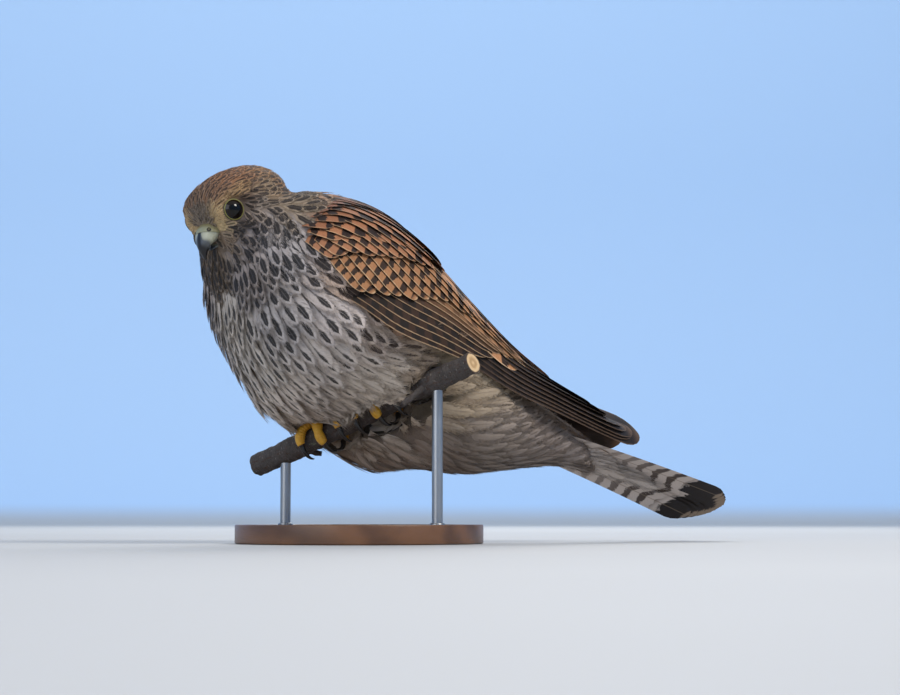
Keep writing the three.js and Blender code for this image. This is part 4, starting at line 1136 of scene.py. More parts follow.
def rooted(skin, spare=7.0):
    """Places for feathers all over the skin, spaced as the chart says, closer across the lie than along it."""
    mesh = skin.data
    mesh.calc_loop_triangles()
    corners = points_of(skin)[fetched(mesh.loop_triangles, "vertices", 3, np.int32)]
    area = norm(np.cross(corners[:, 1] - corners[:, 0], corners[:, 2] - corners[:, 0])) / 2
    spacing = charted(corners.mean(1)) @ CHART_SIZES[:, 0]
    odds = area / spacing**2
    picked = chance.choice(len(odds), size=int(odds.sum() * spare), p=odds / odds.sum())
    a, b = chance.random((2, len(picked)))
    a, b = np.where(a + b > 1, [1 - a, 1 - b], [a, b])[..., None]
    first, second, third = corners[picked].transpose(1, 0, 2)
    spots = first + a * (second - first) + b * (third - first)
    shares = charted(spots)
    slim = np.where(shares @ CHART_IN_HEAD > 0.5, 0.46, 0.6)
    squeeze = 1 - np.where(shares @ CHART_BARRED > 0.5, 0.8, slim) ** 2
    kept, count = np.empty_like(spots), 0
    for spot, room, way, press in zip(spots, spacing[picked] * 0.86, in_lots(lie_at, spots, 8000), squeeze):
        away = kept[:count] - spot
        if ((away**2).sum(1) - press * (away @ way) ** 2 >= room * room).all():
            kept[count] = spot
            count += 1
    return kept[:count]


COAT_ROWS = np.array([0, 0.2, 0.42, 0.62, 0.78, 0.9, 0.97, 1.0])
# Half widths along a vane, as shares of its widest: a firm feather's and a loose one's
FIRM = np.interp(COAT_ROWS, [0, 0.2, 0.5, 0.75, 0.88, 0.95, 0.985, 1], [0.3, 0.62, 0.95, 1, 0.84, 0.58, 0.34, 0.1])
LOOSE = np.interp(COAT_ROWS, [0, 0.3, 0.6, 0.85, 1.0], [0.5, 1.0, 0.85, 0.45, 0.06])
COAT_CAMBER, COAT_COLUMNS = 0.12, 5


def feather_ground(skin):
    """Sinks the skin below its feathers. Returns a tree of its faces and a smooth normal for each."""
    points = points_of(skin)
    depth = charted(points) @ CHART_SIZES[:, 3] * 0.9
    set_points(skin, points - normals_of(skin) * depth[:, None])
    normals = normals_of(skin)
    faces = [tuple(face.vertices) for face in skin.data.polygons]
    tree = BVHTree.FromPolygons([tuple(p) for p in points_of(skin)], faces)
    return tree, unit(np.array([normals[list(face)].mean(0) for face in faces]))


def left_bare(roots, along, across, height):
    """Whether no feather grows at a place: under the folded wing, on the cere, round the eye or at the perch."""
    bare = (along > np.where(across < 0.45, 0.12, 0.09)) & (along < 0.97)
    bare &= (across > 0.0) & (across < 0.97) & (height < 5)
    x, y, z = taken(HEAD, roots).T
    bare |= (y > np.where(np.abs(x) < 3.5, 9.6, 8.8)) & (np.abs(x) < 7.4) & (z < 0.6) & (z > -12.5)
    for eye in EYES:
        deep, radial = off_eye(roots, eye)
        bare |= (norm(radial) < EYE_CLEAR - 0.1) & (deep > -3)
    return bare | (norm(off_perch(roots)) < PERCH_RADIUS + 2.0)


def laid(ground, roots, lie, swing, length):
    """Middle lines, normals and sides of feathers, each laid along the skin from its root."""
    tree, face_normals = ground
    centre, normal, side = np.zeros((3, len(roots), len(COAT_ROWS), 3))
    here, way = roots, lie
    for k, step in enumerate(np.diff(COAT_ROWS, append=1.0)):
        hits = [tree.find_nearest(tuple(p), 30.0) for p in here]
        found = np.array([h[0] if h[0] is not None else p for h, p in zip(hits, here)])
        up = face_normals[np.array([h[2] if h[2] is not None else 0 for h in hits])]
        if k > 0:
            way = unit(0.6 * way + 0.4 * lie_at(found))
        way = unit(way - (way * up).sum(1)[:, None] * up)
        if k == 0:
            way = unit(way + np.cross(up, way) * swing[:, None])
        centre[:, k], normal[:, k] = found, up
        side[:, k] = np.cross(up, way) if k > 0 else unit(np.cross(up, way))
        here = found + way * (length * step)[:, None]
    for _ in range(2):
        centre[:, 1:-1] = 0.5 * centre[:, 1:-1] + 0.25 * (centre[:, :-2] + centre[:, 2:])
        normal[:, 1:-1] = unit(0.5 * normal[:, 1:-1] + 0.25 * (normal[:, :-2] + normal[:, 2:]))
    return centre, normal, side


def stopped_at_perch(middle_lines):
    """The share of each feather that ends short of the perch."""
    flat = middle_lines.reshape(-1, 3)
    near = (norm(off_perch(flat)) < PERCH_RADIUS + 2.2) & (np.abs(perch_reach(flat) - 3) < 71)
    near = near.reshape(middle_lines.shape[:2])
    return np.where(near.any(1), COAT_ROWS[np.maximum(near.argmax(1) - 1, 0)], 1.0)


def coat_parts(roots, along, on_head, barred):
    """The coat's parts: name, which feathers, pattern and slot."""
    x, y, z = taken(BIRD, roots).T
    high = taken(HEAD, roots)[:, 2] > 5.5
    plain, patterned = ~on_head & ~barred, ~on_head & barred
    on_neck, on_breast = (y < -50) & (z > 52), y - z * 0.5 < -38
    on_back = (along < 0.02) | (z > 0) & (np.abs(x) < 22)
    return [
        ["crown", on_head & high, "streak", "crown"],
        ["face", on_head & ~high, "streak", "crown"],
        ["neck", plain & on_neck, "streak", "breast"],
        ["breast", plain & ~on_neck & on_breast, "streak", "breast"],
        ["belly", plain & ~on_neck & ~on_breast, "streak", "breast"],
        ["back", patterned & on_back, "bar", "wing"],
        ["shoulder", patterned & ~on_back, "bar", "wing"],
    ]


def build_coat(skin):
    ground = feather_ground(skin)
    roots = rooted(skin)
    along, across, height = wing_shares(roots)
    kept = ~left_bare(roots, along, across, height)
    roots, along, across = roots[kept], along[kept], across[kept]

    shares = charted(roots)
    nearest = shares.argmax(1)
    _, length, width, rise, edged, streak, _, fringe = (shares @ CHART_SIZES).T
    start = CHART_SIZES[nearest, 6]
    barred = shares @ CHART_BARRED > 0.5
    hue, mark, rim = np.einsum("nk,kcd->cnd", shares, CHART_COLOURS)
    count = len(roots)
    length = length * chance.uniform(0.86, 1.14, count)
    width = width * chance.uniform(0.88, 1.12, count)
    lie, swing = lie_at(roots), chance.normal(0, 0.11, count)
    stop = stopped_at_perch(laid(ground, roots, lie, swing, length)[0])
    length = length * np.clip(stop, 0.3, 1.0)
    width = width * np.clip(stop + 0.3, 0.6, 1.0)
    lines = laid(ground, roots, lie, swing, length)

    thin = ease((fringe - 0.1) / 0.9)[:, None] * 0.4
    uneven = chance.uniform(0.93, 1.07, (count, len(COAT_ROWS)))
    half = width[:, None] / 2 * (FIRM * (1 - thin) + LOOSE * thin) * uneven
    sunk = np.minimum(0.25, rise[:, None] * 0.12)
    lift = -sunk + ((rise * chance.uniform(0.8, 1.2, count))[:, None] + sunk) * COAT_ROWS**0.8
    lift = lift + chance.normal(0, 0.1, count)[:, None] * rise[:, None] * 0.6
    by_wing = ease((0.12 - along) / 0.04) * ease((along + 0.06) / 0.05)
    by_wing = by_wing * ease((0.52 - across) / 0.12) * ease((across + 0.3) / 0.2)
    lift = lift + (by_wing * ~barred)[:, None] * (0.6 + 2.2 * COAT_ROWS)
    tinted = np.clip(hue * chance.normal(1, 0.06, (count, 1)), 0, 1)
    streaks = np.where(barred, streak.clip(0, 1), streak * chance.uniform(0.75, 1.2, count))
    looks = marked(count, tinted, mark, rim, streaks, start, length, width, edged)
    patch = unwrapped(roots)

    finishes = {
        "streak": plumage("streaked_plumage", "streak", 0.72, 0.06), "bar": plumage("barred_plumage", "bar", 0.86)
    }
    for name, chosen, pattern, slot_name in coat_parts(roots, along, CHART_IN_HEAD[nearest], barred):
        marks = {key: value[chosen] for key, value in looks.items()}
        group = [values[chosen] for values in (*lines, half, lift)]
        common = group, COAT_ROWS, marks, patch[chosen]
        thick = 0.16 + 0.012 * length[chosen]
        vanes = vane_mesh(f"{name}_feathers", *common, COAT_CAMBER, thick, COAT_COLUMNS)
        barbs = fringe_mesh(f"{name}_barbs", *common, fringe[chosen], BARBS_A_FEATHER)
        for piece in (vanes, barbs):
            settle(piece)
            finished(piece, finishes[pattern], slot_name)


skin = build_skin()
build_coat(skin)
skin_points = points_of(skin)
tints = charted(skin_points) @ CHART_COLOURS[:, 0]
# Painted shadow: the skin darkens towards the perch, down to a quarter of its colour within 12 mm of the perch's axis.
tints = tints * (0.25 + 0.75 * ease((norm(off_perch(skin_points)) - 12) / 8))[:, None]
note(skin, "ground", with_alpha(tints * 0.8))
smooth_shaded(skin)
finished(skin, skin_finish(), "breast", "head", "neck", "torso", "thigh_left", "thigh_right")

# ---------------------------------------------------------------- wings

# Each tier: count, root from and to, tip from and to, widths, lifts, layer, bend,
# ground, mark and rim colour, edge share, mark share, bars a feather
TIERS = {
    "primaries": [
        9, (0.4, 0.1), (0.4, 0.42), (0.985, 0.1), (0.84, 0.86), (19, 13), (-3.0, -1.4), 0.2, 0.5,
        "1f1714", "3a2a21", "7a604a", 0.4, 0.3, 9.0,
    ],
    "secondaries": [
        12, (0.12, 0.0), (0.34, 0.5), (0.46, 0.02), (0.64, 0.5), (9, 11), (-2.4, -0.8), 0.14, 0.0,
        "221914", "61412b", "bd9d79", 0.85, 0.26, 8.0,
    ],
    "tertials": [
        7, (0.3, 0.44), (0.32, 0.92), (0.61, 0.2), (0.73, 0.86), (13, 15), (-1.5, 0.0), 0.16, 0.0,
        "c88e61", "231813", "dfbe96", 0.9, 1.0, 6.0,
    ],
    "greater_coverts": [
        11, (0.06, 0.25), (0.36, 0.56), (0.15, 0.05), (0.5, 0.42), (9, 11), (-1.4, 0.2), 0.08, 0.0,
        "a97750", "241812", "cfae87", 0.75, 1.0, 4.8,
    ],
    "median_coverts": [
        10, (0.0, 0.42), (0.27, 0.62), (0.09, 0.25), (0.37, 0.5), (11, 12), (-1.2, 0.5), 0.08, 0.0,
        "a57150", "1d1312", "cba780", 0.65, 1.0, 2.6,
    ],
    "lower_scapulars": [
        8, (0.01, 0.56), (0.26, 0.78), (0.12, 0.4), (0.4, 0.63), (12.5, 13.5), (-1.2, 0.6), 0.08, 0.0,
        "a66f4d", "150f10", "cdaa84", 0.6, 1.0, 2.0,
    ],
    "scapulars": [
        8, (0.0, 0.68), (0.25, 0.9), (0.11, 0.54), (0.41, 0.78), (13, 14), (-1.3, 0.5), 0.06, 0.0,
        "966345", "140e10", "b08a69", 0.5, 1.0, 1.8,
    ],
    "upper_scapulars": [
        8, (-0.02, 0.82), (0.2, 0.96), (0.08, 0.72), (0.35, 0.88), (13, 14), (-1.8, 0.0), 0.04, 0.0,
        "7c5342", "120d0f", "94755d", 0.4, 1.0, 1.7,
    ],
}
TIP_ROUNDING = {"primaries": 0.11, "secondaries": 0.16}
# The rear secondaries turn from the colours of the tier to those of the coverts
REAR_GROUND, REAR_MARK, REAR_SHARE = paint("b8845a"), paint("231813"), 0.9


def build_wing(name, side):
    finish = plumage(f"flight_plumage_{name}", "notch", 0.86)
    barred = plumage(f"wing_covert_plumage_{name}", "bar", 0.87, 0.3)
    rows_at = tiered(17, 1.8)
    for title, tier in TIERS.items():
        count, *ends, widths, lifts, layer, bend, ground, mark, rim, edged, share, bars = tier
        number = np.arange(count) / (count - 1)
        root_a, root_b, tip_a, tip_b = np.array(ends)
        root = root_a + (root_b - root_a) * number[:, None]
        tip = tip_a + (tip_b - tip_a) * number[:, None]
        tip = tip + chance.normal(0, 0.007, tip.shape)
        width = (widths[0] + (widths[1] - widths[0]) * number) * chance.uniform(0.93, 1.08, count)
        along = root[:, :1] + (tip[:, :1] - root[:, :1]) * rows_at
        across = root[:, 1:] + (tip[:, 1:] - root[:, 1:]) * rows_at ** (1 + bend)
        centre, up = wing_sheet(along, across), wing_normal(along, across)
        lift = lifts[0] + (lifts[1] - lifts[0]) * np.sqrt(rows_at) + layer * np.arange(count)[:, None]
        height = norm(wing_sheet(along, 1.0) - wing_sheet(along, 0.0))
        gap = np.maximum(2.2, height * (abs(tip_b[1] - tip_a[1]) / (count - 1)))
        out = unit(unit(np.cross(up, unit(np.gradient(centre, axis=1)))) - up * (0.75 / gap)[..., None])
        rounding = TIP_ROUNDING.get(title, 0.32)
        into = np.maximum(0, (rows_at - 1 + rounding) / rounding)
        profile = np.sqrt(np.maximum(0.02, 1 - into**2 * 0.985)) * (0.7 + 0.3 * np.minimum(1, rows_at * 3))
        group = (*in_world(centre, up, out, side), width[:, None] / 2 * profile, lift)
        tone = chance.normal(1, 0.05, (count, 1))
        rear = ease((number - 0.35) / 0.5)[:, None] * (title == "secondaries")
        ground = np.clip((paint(ground) * (1 - rear) + REAR_GROUND * rear) * tone, 0, 1)
        mark = paint(mark) * (1 - rear) + REAR_MARK * rear
        share = share + (REAR_SHARE - share) * rear[:, 0]
        long = norm(np.diff(centre, axis=1)).sum(1)
        marks = marked(count, ground, mark, paint(rim), share, bars, long, width, edged)
        piece = vane_mesh(f"{name}_{title}", group, rows_at, marks, root[:, ::-1] * 0.8 + 0.1, 0.12, 0.2, 7)
        if side < 0:
            face_outwards(piece)
        nodes = [name] if title == "primaries" else []
        finished(piece, finish if title in TIP_ROUNDING else barred, "wing", *nodes)


build_wing("wing_left", 1)
build_wing("wing_right", -1)

# ---------------------------------------------------------------- tail

TAIL_LENGTH = norm(TAIL_TIP - TAIL_ROOT)
TAIL_AHEAD = unit(TAIL_TIP - TAIL_ROOT)
TAIL_OUT = np.array([math.cos(TAIL_ROLL), 0, math.sin(TAIL_ROLL)])
TAIL_OUT = unit(TAIL_OUT - (TAIL_OUT @ TAIL_AHEAD) * TAIL_AHEAD)
TAIL_UP = np.cross(TAIL_OUT, TAIL_AHEAD)
TAIL_UP = TAIL_UP * np.sign(TAIL_UP[2])
# Each tier: name, -1 below or 1 above, count, root and tip as shares of the tail, spread, lifts, width, ground, mark,
# mark share, bars a feather
TAIL_COVERTS = [
    ["under_tail_coverts", -1, 9, 0.34, 0.58, 7.5, (6.0, 3.4), 9, "c0b3a9", "7b6a57", 0.0, 0.8],
    ["long_under_tail_coverts", -1, 7, 0.38, 0.73, 5.0, (5.0, 2.2), 8, "c4b8af", "7b6a57", 0.0, 0.8],
    ["upper_tail_coverts", 1, 7, 0.28, 0.56, 8.0, (5.0, 2.2), 12, "8f6b50", "2b1f1a", 0.9, 2.6],
]


def rounded(rows_at, start, root_width):
    """Half widths of a feather whose tip is rounded from one share on."""
    into = np.maximum(0, (rows_at - start) / (1 - start))
    return np.sqrt(np.maximum(0.03, 1 - into**2 * 0.97)) * (root_width + (1 - root_width) * rows_at)


def in_row(count):
    return np.stack([np.linspace(0.1, 0.9, count), np.full(count, 0.5)], 1)


def build_tail():
    count = TAIL_FEATHERS
    number = np.arange(count) - (count - 1) / 2
    rank = np.abs(number) - 0.5
    fan = (number * math.radians(0.58))[:, None]
    way = (TAIL_AHEAD * np.cos(fan) + TAIL_OUT * np.sin(fan))[:, None]
    across = TAIL_OUT * np.cos(fan) - TAIL_AHEAD * np.sin(fan)
    reach = (TAIL_LENGTH - 12 * (rank / 5.5) ** 1.6)[:, None, None]
    rows_at = tiered(26, 1.3)
    s = rows_at[None, :, None]
    arch = TAIL_UP * (1.5 * np.sin(math.pi * s) - (rank * 0.45)[:, None, None])
    centre = TAIL_ROOT + TAIL_OUT * (number * 0.9)[:, None, None] + way * reach * s + arch
    tilt = (-np.sign(number) / TAIL_FEATHER_WIDTH)[:, None]
    side = unit(across + TAIL_UP * tilt)[:, None] * np.ones((1, len(rows_at), 1))
    normal = np.cross(side, unit(np.gradient(centre, axis=1)))
    normal = unit(normal * np.sign((normal * TAIL_UP).sum(-1, keepdims=True)))
    half = np.repeat((TAIL_FEATHER_WIDTH / 2 * rounded(rows_at, 0.93, 0.62))[None], count, 0)
    colours = [paint(code) for code in ("a98867", "3b2c25", "d8c6ac")]
    marks = marked(count, *colours, 1.0, 12.0, 160.0, TAIL_FEATHER_WIDTH, 0.4)
    group = (*in_world(centre, normal, side), half, np.zeros_like(half))
    piece = vane_mesh("tail_feathers", group, rows_at, marks, in_row(count), 0.06, 0.35, 9)
    face_outwards(piece)
    over = tail_finish("tail_upper_plumage", "92694a", "b58a62", 0.9, "3a2a22")
    under = tail_finish("tail_under_plumage", "b3a59c", "cdc0b7", 0.95, "3d2f28")
    finished(piece, [over, under], "tail", "tail")
    below = fetched(piece.data.polygons, "normal") @ aimed(BIRD, TAIL_UP) < 0
    piece.data.polygons.foreach_set("material_index", below.astype(np.int32))


def build_tail_coverts():
    """Soft feathers that run out over the root of the tail, pale below and barred above."""
    rows_at = tiered(12, 1.3)
    s = rows_at[None, :, None]
    under = plumage("under_tail_plumage", "streak", 0.72, 0.12)
    over = plumage("upper_tail_covert_plumage", "bar", 0.86, 0.2)
    for title, hand, count, start, stop, spread, lifts, width, ground, mark, streak, bars in TAIL_COVERTS:
        number = np.linspace(-1, 1, count)
        place = number[:, None, None]
        stops = stop - 0.07 * np.abs(number) + chance.normal(0, 0.008, count)
        ahead = TAIL_AHEAD * TAIL_LENGTH * (start + (stops[:, None, None] - start) * s)
        high = lifts[0] + (lifts[1] - lifts[0]) * s**0.8 + 0.125 * count * (1 - np.abs(place)) - 2.2 * place**2
        centre = TAIL_ROOT + ahead + TAIL_OUT * (place * spread) * (0.7 + 0.3 * s) + TAIL_UP * hand * high
        side = unit(TAIL_OUT - TAIL_UP * (hand * number * 0.3)[:, None])[:, None] * np.ones((1, len(rows_at), 1))
        normal = unit(np.cross(side, np.gradient(centre, axis=1)))
        normal = normal * np.sign((normal * TAIL_UP * hand).sum(-1, keepdims=True))
        half = width / 2 * rounded(rows_at, 0.7, 0.6)[None] * np.ones((count, 1))
        tinted = np.clip(paint(ground) * chance.normal(1, 0.05, (count, 1)), 0, 1)
        sizes = (stops - start) * TAIL_LENGTH, width, 0.1 if hand < 0 else 0.5
        marks = marked(count, tinted, paint(mark), paint("cdbfb0"), streak, bars, *sizes)
        group = (*in_world(centre, normal, side), half, np.zeros_like(half))
        finish, slot_name = (under, "breast") if hand < 0 else (over, "tail")
        vanes = vane_mesh(title, group, rows_at, marks, in_row(count), 0.12, 0.25, 7)
        finished(vanes, finish, slot_name)
        loose = fringe_mesh(title + "_barbs", group, rows_at, marks, in_row(count), np.ones(count), 60)
        finished(loose, finish, slot_name)


build_tail()
build_tail_coverts()

# ---------------------------------------------------------------- eyes, cere and bill


def facing(out):
    """Two ways square to one another and to out."""
    first = unit(np.cross(out, [0, 0, 1.0]))
    return first, np.cross(first, out)


def ringed(first, second, angle, radius):
    return (first * np.cos(angle)[:, None] + second * np.sin(angle)[:, None]) * radius[:, None]


def build_eye(hand, eye):
    at, out = eye
    globe = ball(f"eye_ball_{hand}", 64, 48, lambda turn, share: at + ways_round(turn, share) * EYE_RADIUS)
    note(globe, "outward", unit(points_of(globe) - at) @ out)
    finished(globe, eye_finish(), "eye", f"eye_{hand}")
    choose()
    bpy.ops.mesh.primitive_torus_add(major_segments=72, minor_segments=20, major_radius=1, minor_radius=0.2)
    ring = named(f"eye_ring_ball_{hand}")
    x, y, z = (points_of(ring) * MM).T
    around, radial = np.arctan2(y, x), np.hypot(x, y) - 1
    crease = 1 + 0.06 * np.sin(around * 9 + 0.6) + 0.05 * np.sin(around * 17)
    seat = at + out * (math.sqrt(EYE_RADIUS**2 - EYE_OPENING**2) - 0.3)
    made = seat + ringed(*facing(out), around, 4.62 + radial * 2.7 * crease) + out * (z * 3.0 - 0.35)[:, None]
    set_points(ring, made)
    note(ring, "inner", np.clip(-radial / 0.2, -1, 1))
    face_outwards(ring)
    smooth_shaded(ring)
    finished(ring, ring_finish(), "cere")


build_eye("left", EYES[0])
build_eye("right", EYES[1])


def bill_form(stations, grow=0.0, tooth=0.0):
    def shape(turn, share):
        x, y, z, inner, deep = lofted(stations, turn, share, BILL_RINGS, grow=grow)
        notch = bell(inner, 0.66, 0.035) - 0.8 * bell(inner, 0.76, 0.03)
        return put(HEAD, np.stack([x, y, z - tooth * notch * ease((-deep - 0.2) / 0.5)], 1))

    return shape


def cere_side(at, side):
    """The point of the cere's side at one height and depth."""
    turn, share = (v.ravel() for v in np.meshgrid(np.linspace(0.02, 0.48, 200), np.linspace(0.02, 0.98, 200)))
    found = taken(HEAD, bill_form(UPPER_BILL, CERE_SWELL)(turn if side > 0 else 1 - turn, share))
    hit = found[norm(found[:, 1:] - at[1:]).argmin()]
    return np.array([hit[0] - side * 0.02, at[1], at[2]])


def dome(at, out, radius, high, lift):
    """A flat round form on the head, at a place and facing out."""
    first, second = facing(out)

    def shape(turn, share):
        rise = (high * np.cos(share * math.pi) + lift)[:, None]
        return put(HEAD, at + ringed(first, second, turn * 2 * math.pi, radius * np.sin(share * math.pi)) + out * rise)

    return shape


def build_bill():
    horn, shade, wax = horn_finish(), nostril_finish(), cere_finish()
    for name, stations, tooth in (("upper", UPPER_BILL, 0.55), ("lower", LOWER_BILL, 0.0)):
        piece = ball(f"{name}_mandible", 64, BILL_RINGS, bill_form(stations, 0.0, tooth))
        x, y, z = taken(HEAD, points_of(piece)).T
        note(piece, "ahead", np.clip((y - 9) / 9 * 0.6 + (-z - 2) / 12 * 0.4, 0, 1))
        note(piece, "ridge", np.clip(1 - (np.abs(x) - 0.2) / 2.2, 0, 1) if tooth else np.full(len(x), 0.4))
        finished(piece, horn, "bill", f"bill_{name}")
    cere = ball("cere_skin", 72, BILL_RINGS, bill_form(UPPER_BILL, CERE_SWELL))
    front = tuple(put(HEAD, np.array([0, CERE_FRONT + 0.9, -2.6])) * MM)
    with edit_mode(cere):
        facing_front = tuple(aimed(HEAD, np.array([0, 0.65, -0.76])))
        bpy.ops.mesh.bisect(plane_co=front, plane_no=facing_front, clear_outer=True, use_fill=True)
    found = taken(HEAD, points_of(cere))
    swell = 0.3 * bell(found[:, 1], 11.4, 1.7) * bell(found[:, 2], -3.2, 3.0)
    found[:, 0] += np.sign(found[:, 0]) * swell
    dip = 0.4 * bell(norm(np.abs(found) - np.abs(NOSTRIL_AT)), 0, 1.0)
    found[:, 0] -= np.sign(found[:, 0]) * dip
    set_points(cere, put(HEAD, found))
    apply(cere, "BEVEL", width=0.0004, segments=3, limit_method="ANGLE", angle_limit=math.radians(50))
    note(cere, "ahead", np.clip((taken(HEAD, points_of(cere))[:, 1] - 6) / 6.5, 0, 1))
    smooth_shaded(cere, 40)
    finished(cere, wax, "cere", "cere")
    for hand, side in (("left", 1), ("right", -1)):
        at = cere_side(NOSTRIL_AT, side)
        out = unit(np.array([side * 0.56, 0.35, 0.75]))
        finished(ball(f"nostril_{hand}", 32, 16, dome(at, out, 1.2, 0.28, -0.02)), shade, "cere")
        peg = ball(f"nostril_{hand}_stud", 24, 12, dome(at, out, 0.42, 0.42, 0.03))
        note(peg, "ahead", np.full(len(peg.data.vertices), 0.2))
        finished(peg, wax, "cere")


build_bill()

# ---------------------------------------------------------------- feet and claws


def nearest_share(points, path, steps):
    """The share of a path that lies nearest to each point."""
    axis = path(np.linspace(0, 1, steps))
    return ((points[:, None] - axis[None]) ** 2).sum(2).argmin(1) / (steps - 1)


def toe_forms(foot, toe, joints, scutes):
    """Path and radius of a toe and of its claw."""
    span = (CLAW_LENGTH / TOE_REACH) / abs(math.radians(toe[3]))

    def toe_path(s):
        return toe_point(foot, toe, s * TOE_END, np.full(np.shape(s), TOE_REACH))

    def toe_radius(s, angle):
        plain = TOE_RADIUS * (1.08 - 0.26 * s + 0.2 * np.abs(np.sin(math.pi * joints * s))) - 0.1
        ridge = np.abs(np.sin(math.pi * scutes * s)) ** 0.5
        return plain + (ridge - 0.75) * 0.42 * ease((np.sin(angle) + 0.4) / 0.8)

    def claw_path(s):
        share = TOE_END + (0.045 + span) * s
        rise = 1.4 * np.sin(np.clip((share - 0.905) / span, 0, 1.02) * 2.4)
        return toe_point(foot, toe, share, TOE_REACH + rise)

    def claw_radius(s, angle):
        return 1.55 * np.maximum(0.0, 1 - s) ** 0.75 + 0.1 - 0.2 * np.abs(np.sin(angle)) * (1 - s)

    return toe_path, toe_radius, claw_path, claw_radius


def build_foot(name, foot):
    up, horn = tuple(PERCH_ALONG), claw_finish()
    parts = []
    for toe in TOES:
        joints, scutes = (3, 17) if toe[0] == "3" else (2, 13)
        toe_path, toe_radius, claw_path, claw_radius = toe_forms(foot, toe, joints, scutes)
        piece = ball(f"toe_{name}_{toe[0]}", 28, 64, tube_form(toe_path, toe_radius, 64, up))
        note(piece, "scute", np.abs(np.sin(math.pi * scutes * nearest_share(points_of(piece), toe_path, 260))))
        parts.append(piece)
        claw = ball(f"talon_{name}_{toe[0]}", 24, 32, tube_form(claw_path, claw_radius, 32, up))
        note(claw, "ahead", nearest_share(points_of(claw), claw_path, 120))
        finished(claw, horn, "claw", f"claw_{name}_{toe[0]}")
    ankle = toe_point(foot, ["", 0, 0, 0, 96], 0.0, TOE_REACH + 0.6)
    knee = ankle + np.array([-np.sign(foot) * 1, 5, 13])

    def shank(s):
        return ankle + (knee - ankle) * s[:, None]

    def girth(s, angle):
        return TOE_RADIUS * 0.96 * (1.45 - 0.45 * np.minimum(1, s * 3)) + 0.18 * np.abs(np.sin(math.pi * 7 * s))

    piece = ball(f"shank_{name}", 28, 32, tube_form(shank, girth, 32, up))
    up_shank = np.clip((points_of(piece) - ankle) @ unit(knee - ankle) / 14, 0, 1)
    note(piece, "scute", np.abs(np.sin(math.pi * 7 * up_shank)))
    parts.append(piece)
    piece = ball(f"pad_{name}", 28, 20, lambda turn, share: ankle + ways_round(turn, share) * 4.3)
    note(piece, "scute", np.full(len(piece.data.vertices), 0.6))
    parts.append(piece)
    finished(joined(f"scaled_foot_{name}", parts), foot_finish(), "foot", f"foot_{name}")


build_foot("left", FEET_APART)
build_foot("right", -FEET_APART)

# ---------------------------------------------------------------- perch and stand


def rough(points, size, seed):
    """A smooth pseudo-random height for each point, from a few waves."""
    waves = np.random.default_rng(seed)
    total = np.zeros(len(points))
    for _ in range(14):
        way = waves.normal(0, 1, 3)
        total += np.sin(points @ way / size * waves.uniform(0.6, 2.2) + waves.uniform(0, 6.28))
    return total / 5


def perch_radius(share, angle):
    at = PERCH_LOW + (PERCH_HIGH - PERCH_LOW) * share
    knots = 0.5 * bell(at, -42, 5) + 0.6 * bell(at, 47, 5) + 0.22 * bell(at, -12, 1.2) + 0.18 * bell(at, 24, 1.2)
    return PERCH_RADIUS + knots + 0.12 * np.sin(at * 0.9) - at * 0.004


def barked(piece, path, start, way, relief, out=None):
    """Notes the turn round the wood, the place along it and how far out it is, and roughens the bark."""
    points = points_of(piece)
    rel = points - path(nearest_share(points, path, 400))
    turn = np.arctan2(rel @ PERCH_RISE, rel @ PERCH_FORWARD)
    out = norm(rel) / PERCH_RADIUS if out is None else np.full(len(points), out)
    note(piece, "bark", np.stack([turn, (points - start) @ way, out], 1))
    push = (rough(points, 2.4, 5) + rough(points, 0.8, 8) * 0.45) * relief
    set_points(piece, points + normals_of(piece) * (push * (out > 0.9))[:, None])
    smooth_shaded(piece, 50)
    return piece


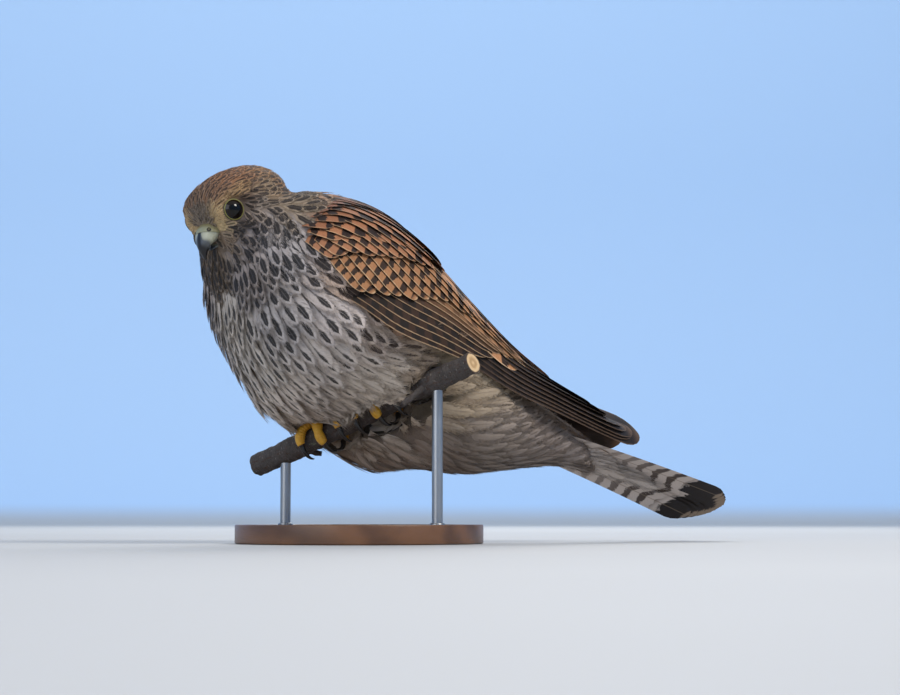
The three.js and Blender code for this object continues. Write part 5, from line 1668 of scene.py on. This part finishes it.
def build_perch():
    branch = ball("perch_branch", 72, 220, tube_form(perch_path, perch_radius, 220))
    parts = [barked(branch, perch_path, perch_point(0.0), PERCH_ALONG, 0.24)]
    for at, turn, length, thick, lean in TWIGS:
        angle = -math.radians(turn)
        out = PERCH_FORWARD * math.cos(angle) + np.cross(PERCH_ALONG, PERCH_FORWARD) * math.sin(angle)
        out, start = unit(out + PERCH_ALONG * lean), perch_point(at)

        def path(s, start=start, out=out, length=length):
            return start + out * (s * length)[..., None] + (np.sin(s * 5) * 0.6)[..., None] * [0, 0, 0.6]

        def radius(s, angle, thick=thick):
            return thick * (1.5 - 0.7 * np.minimum(1, s * 1.6)) + 0.35 * bell(s, 0.82, 0.07)

        twig = ball("twig", 24, 48, tube_form(path, radius, 48, tuple(PERCH_ALONG)))
        parts.append(barked(twig, path, start, out, 0.09, 1.0))
    perch = joined("birch_perch", parts)
    finished(perch, [bark_finish(), cut_wood_finish()], "bark", "perch")
    reach = perch_reach(fetched(perch.data.polygons, "center") / MM)
    square = np.abs(fetched(perch.data.polygons, "normal") @ PERCH_ALONG) > 0.9
    cut = square & ((reach < PERCH_LOW + 0.6) | (reach > PERCH_HIGH - 0.6))
    perch.data.polygons.foreach_set("material_index", cut.astype(np.int32))


def cylinder(name, vertices, radius, x, y, low, high):
    choose()
    bpy.ops.mesh.primitive_cylinder_add(
        vertices=vertices, radius=radius * MM, depth=(high - low) * MM, location=(x * MM, y * MM, (low + high) / 2 * MM)
    )
    bpy.ops.object.transform_apply(location=True)
    return named(name)


def build_stand():
    base = cylinder("turned_base", 160, BASE_RADIUS, 0, 0, 0, BASE_HEIGHT)
    with edit_mode(base):
        bpy.ops.mesh.select_mode(type="FACE")
        bpy.ops.mesh.select_all(action="DESELECT")
        bpy.ops.object.mode_set(mode="OBJECT")
        base.data.polygons.foreach_set("select", fetched(base.data.polygons, "normal")[:, 2] > 0.9)
        bpy.ops.object.mode_set(mode="EDIT")
        bpy.ops.mesh.inset(thickness=0.0065)
        bpy.ops.mesh.extrude_region_move(TRANSFORM_OT_translate={"value": (0, 0, 0)})
        bpy.ops.mesh.inset(thickness=0.0008, depth=-0.0006)
    apply(base, "BEVEL", width=0.0013, segments=4, limit_method="ANGLE", angle_limit=math.radians(40))
    smooth_shaded(base, 35)
    finished(base, wood_finish(), "base", "stand_base")
    steel = steel_finish()
    for number, at in enumerate(RODS_AT, 1):
        x, y, z = perch_point(at)
        rod = cylinder("rod", 48, ROD_RADIUS, x, y, BASE_HEIGHT - 0.6, z - PERCH_RADIUS * 0.72)
        bpy.ops.mesh.primitive_torus_add(
            major_segments=64, minor_segments=14, major_radius=(ROD_RADIUS + 0.35) * MM, minor_radius=0.0007,
            location=(x * MM, y * MM, (BASE_HEIGHT + 0.1) * MM),
        )
        collar = bpy.context.object
        bpy.ops.object.transform_apply(location=True)
        rod = joined(f"steel_rod_{number}", [rod, collar])
        smooth_shaded(rod, 40)
        finished(rod, steel, "rod", f"stand_rod_{number}")


build_perch()
build_stand()
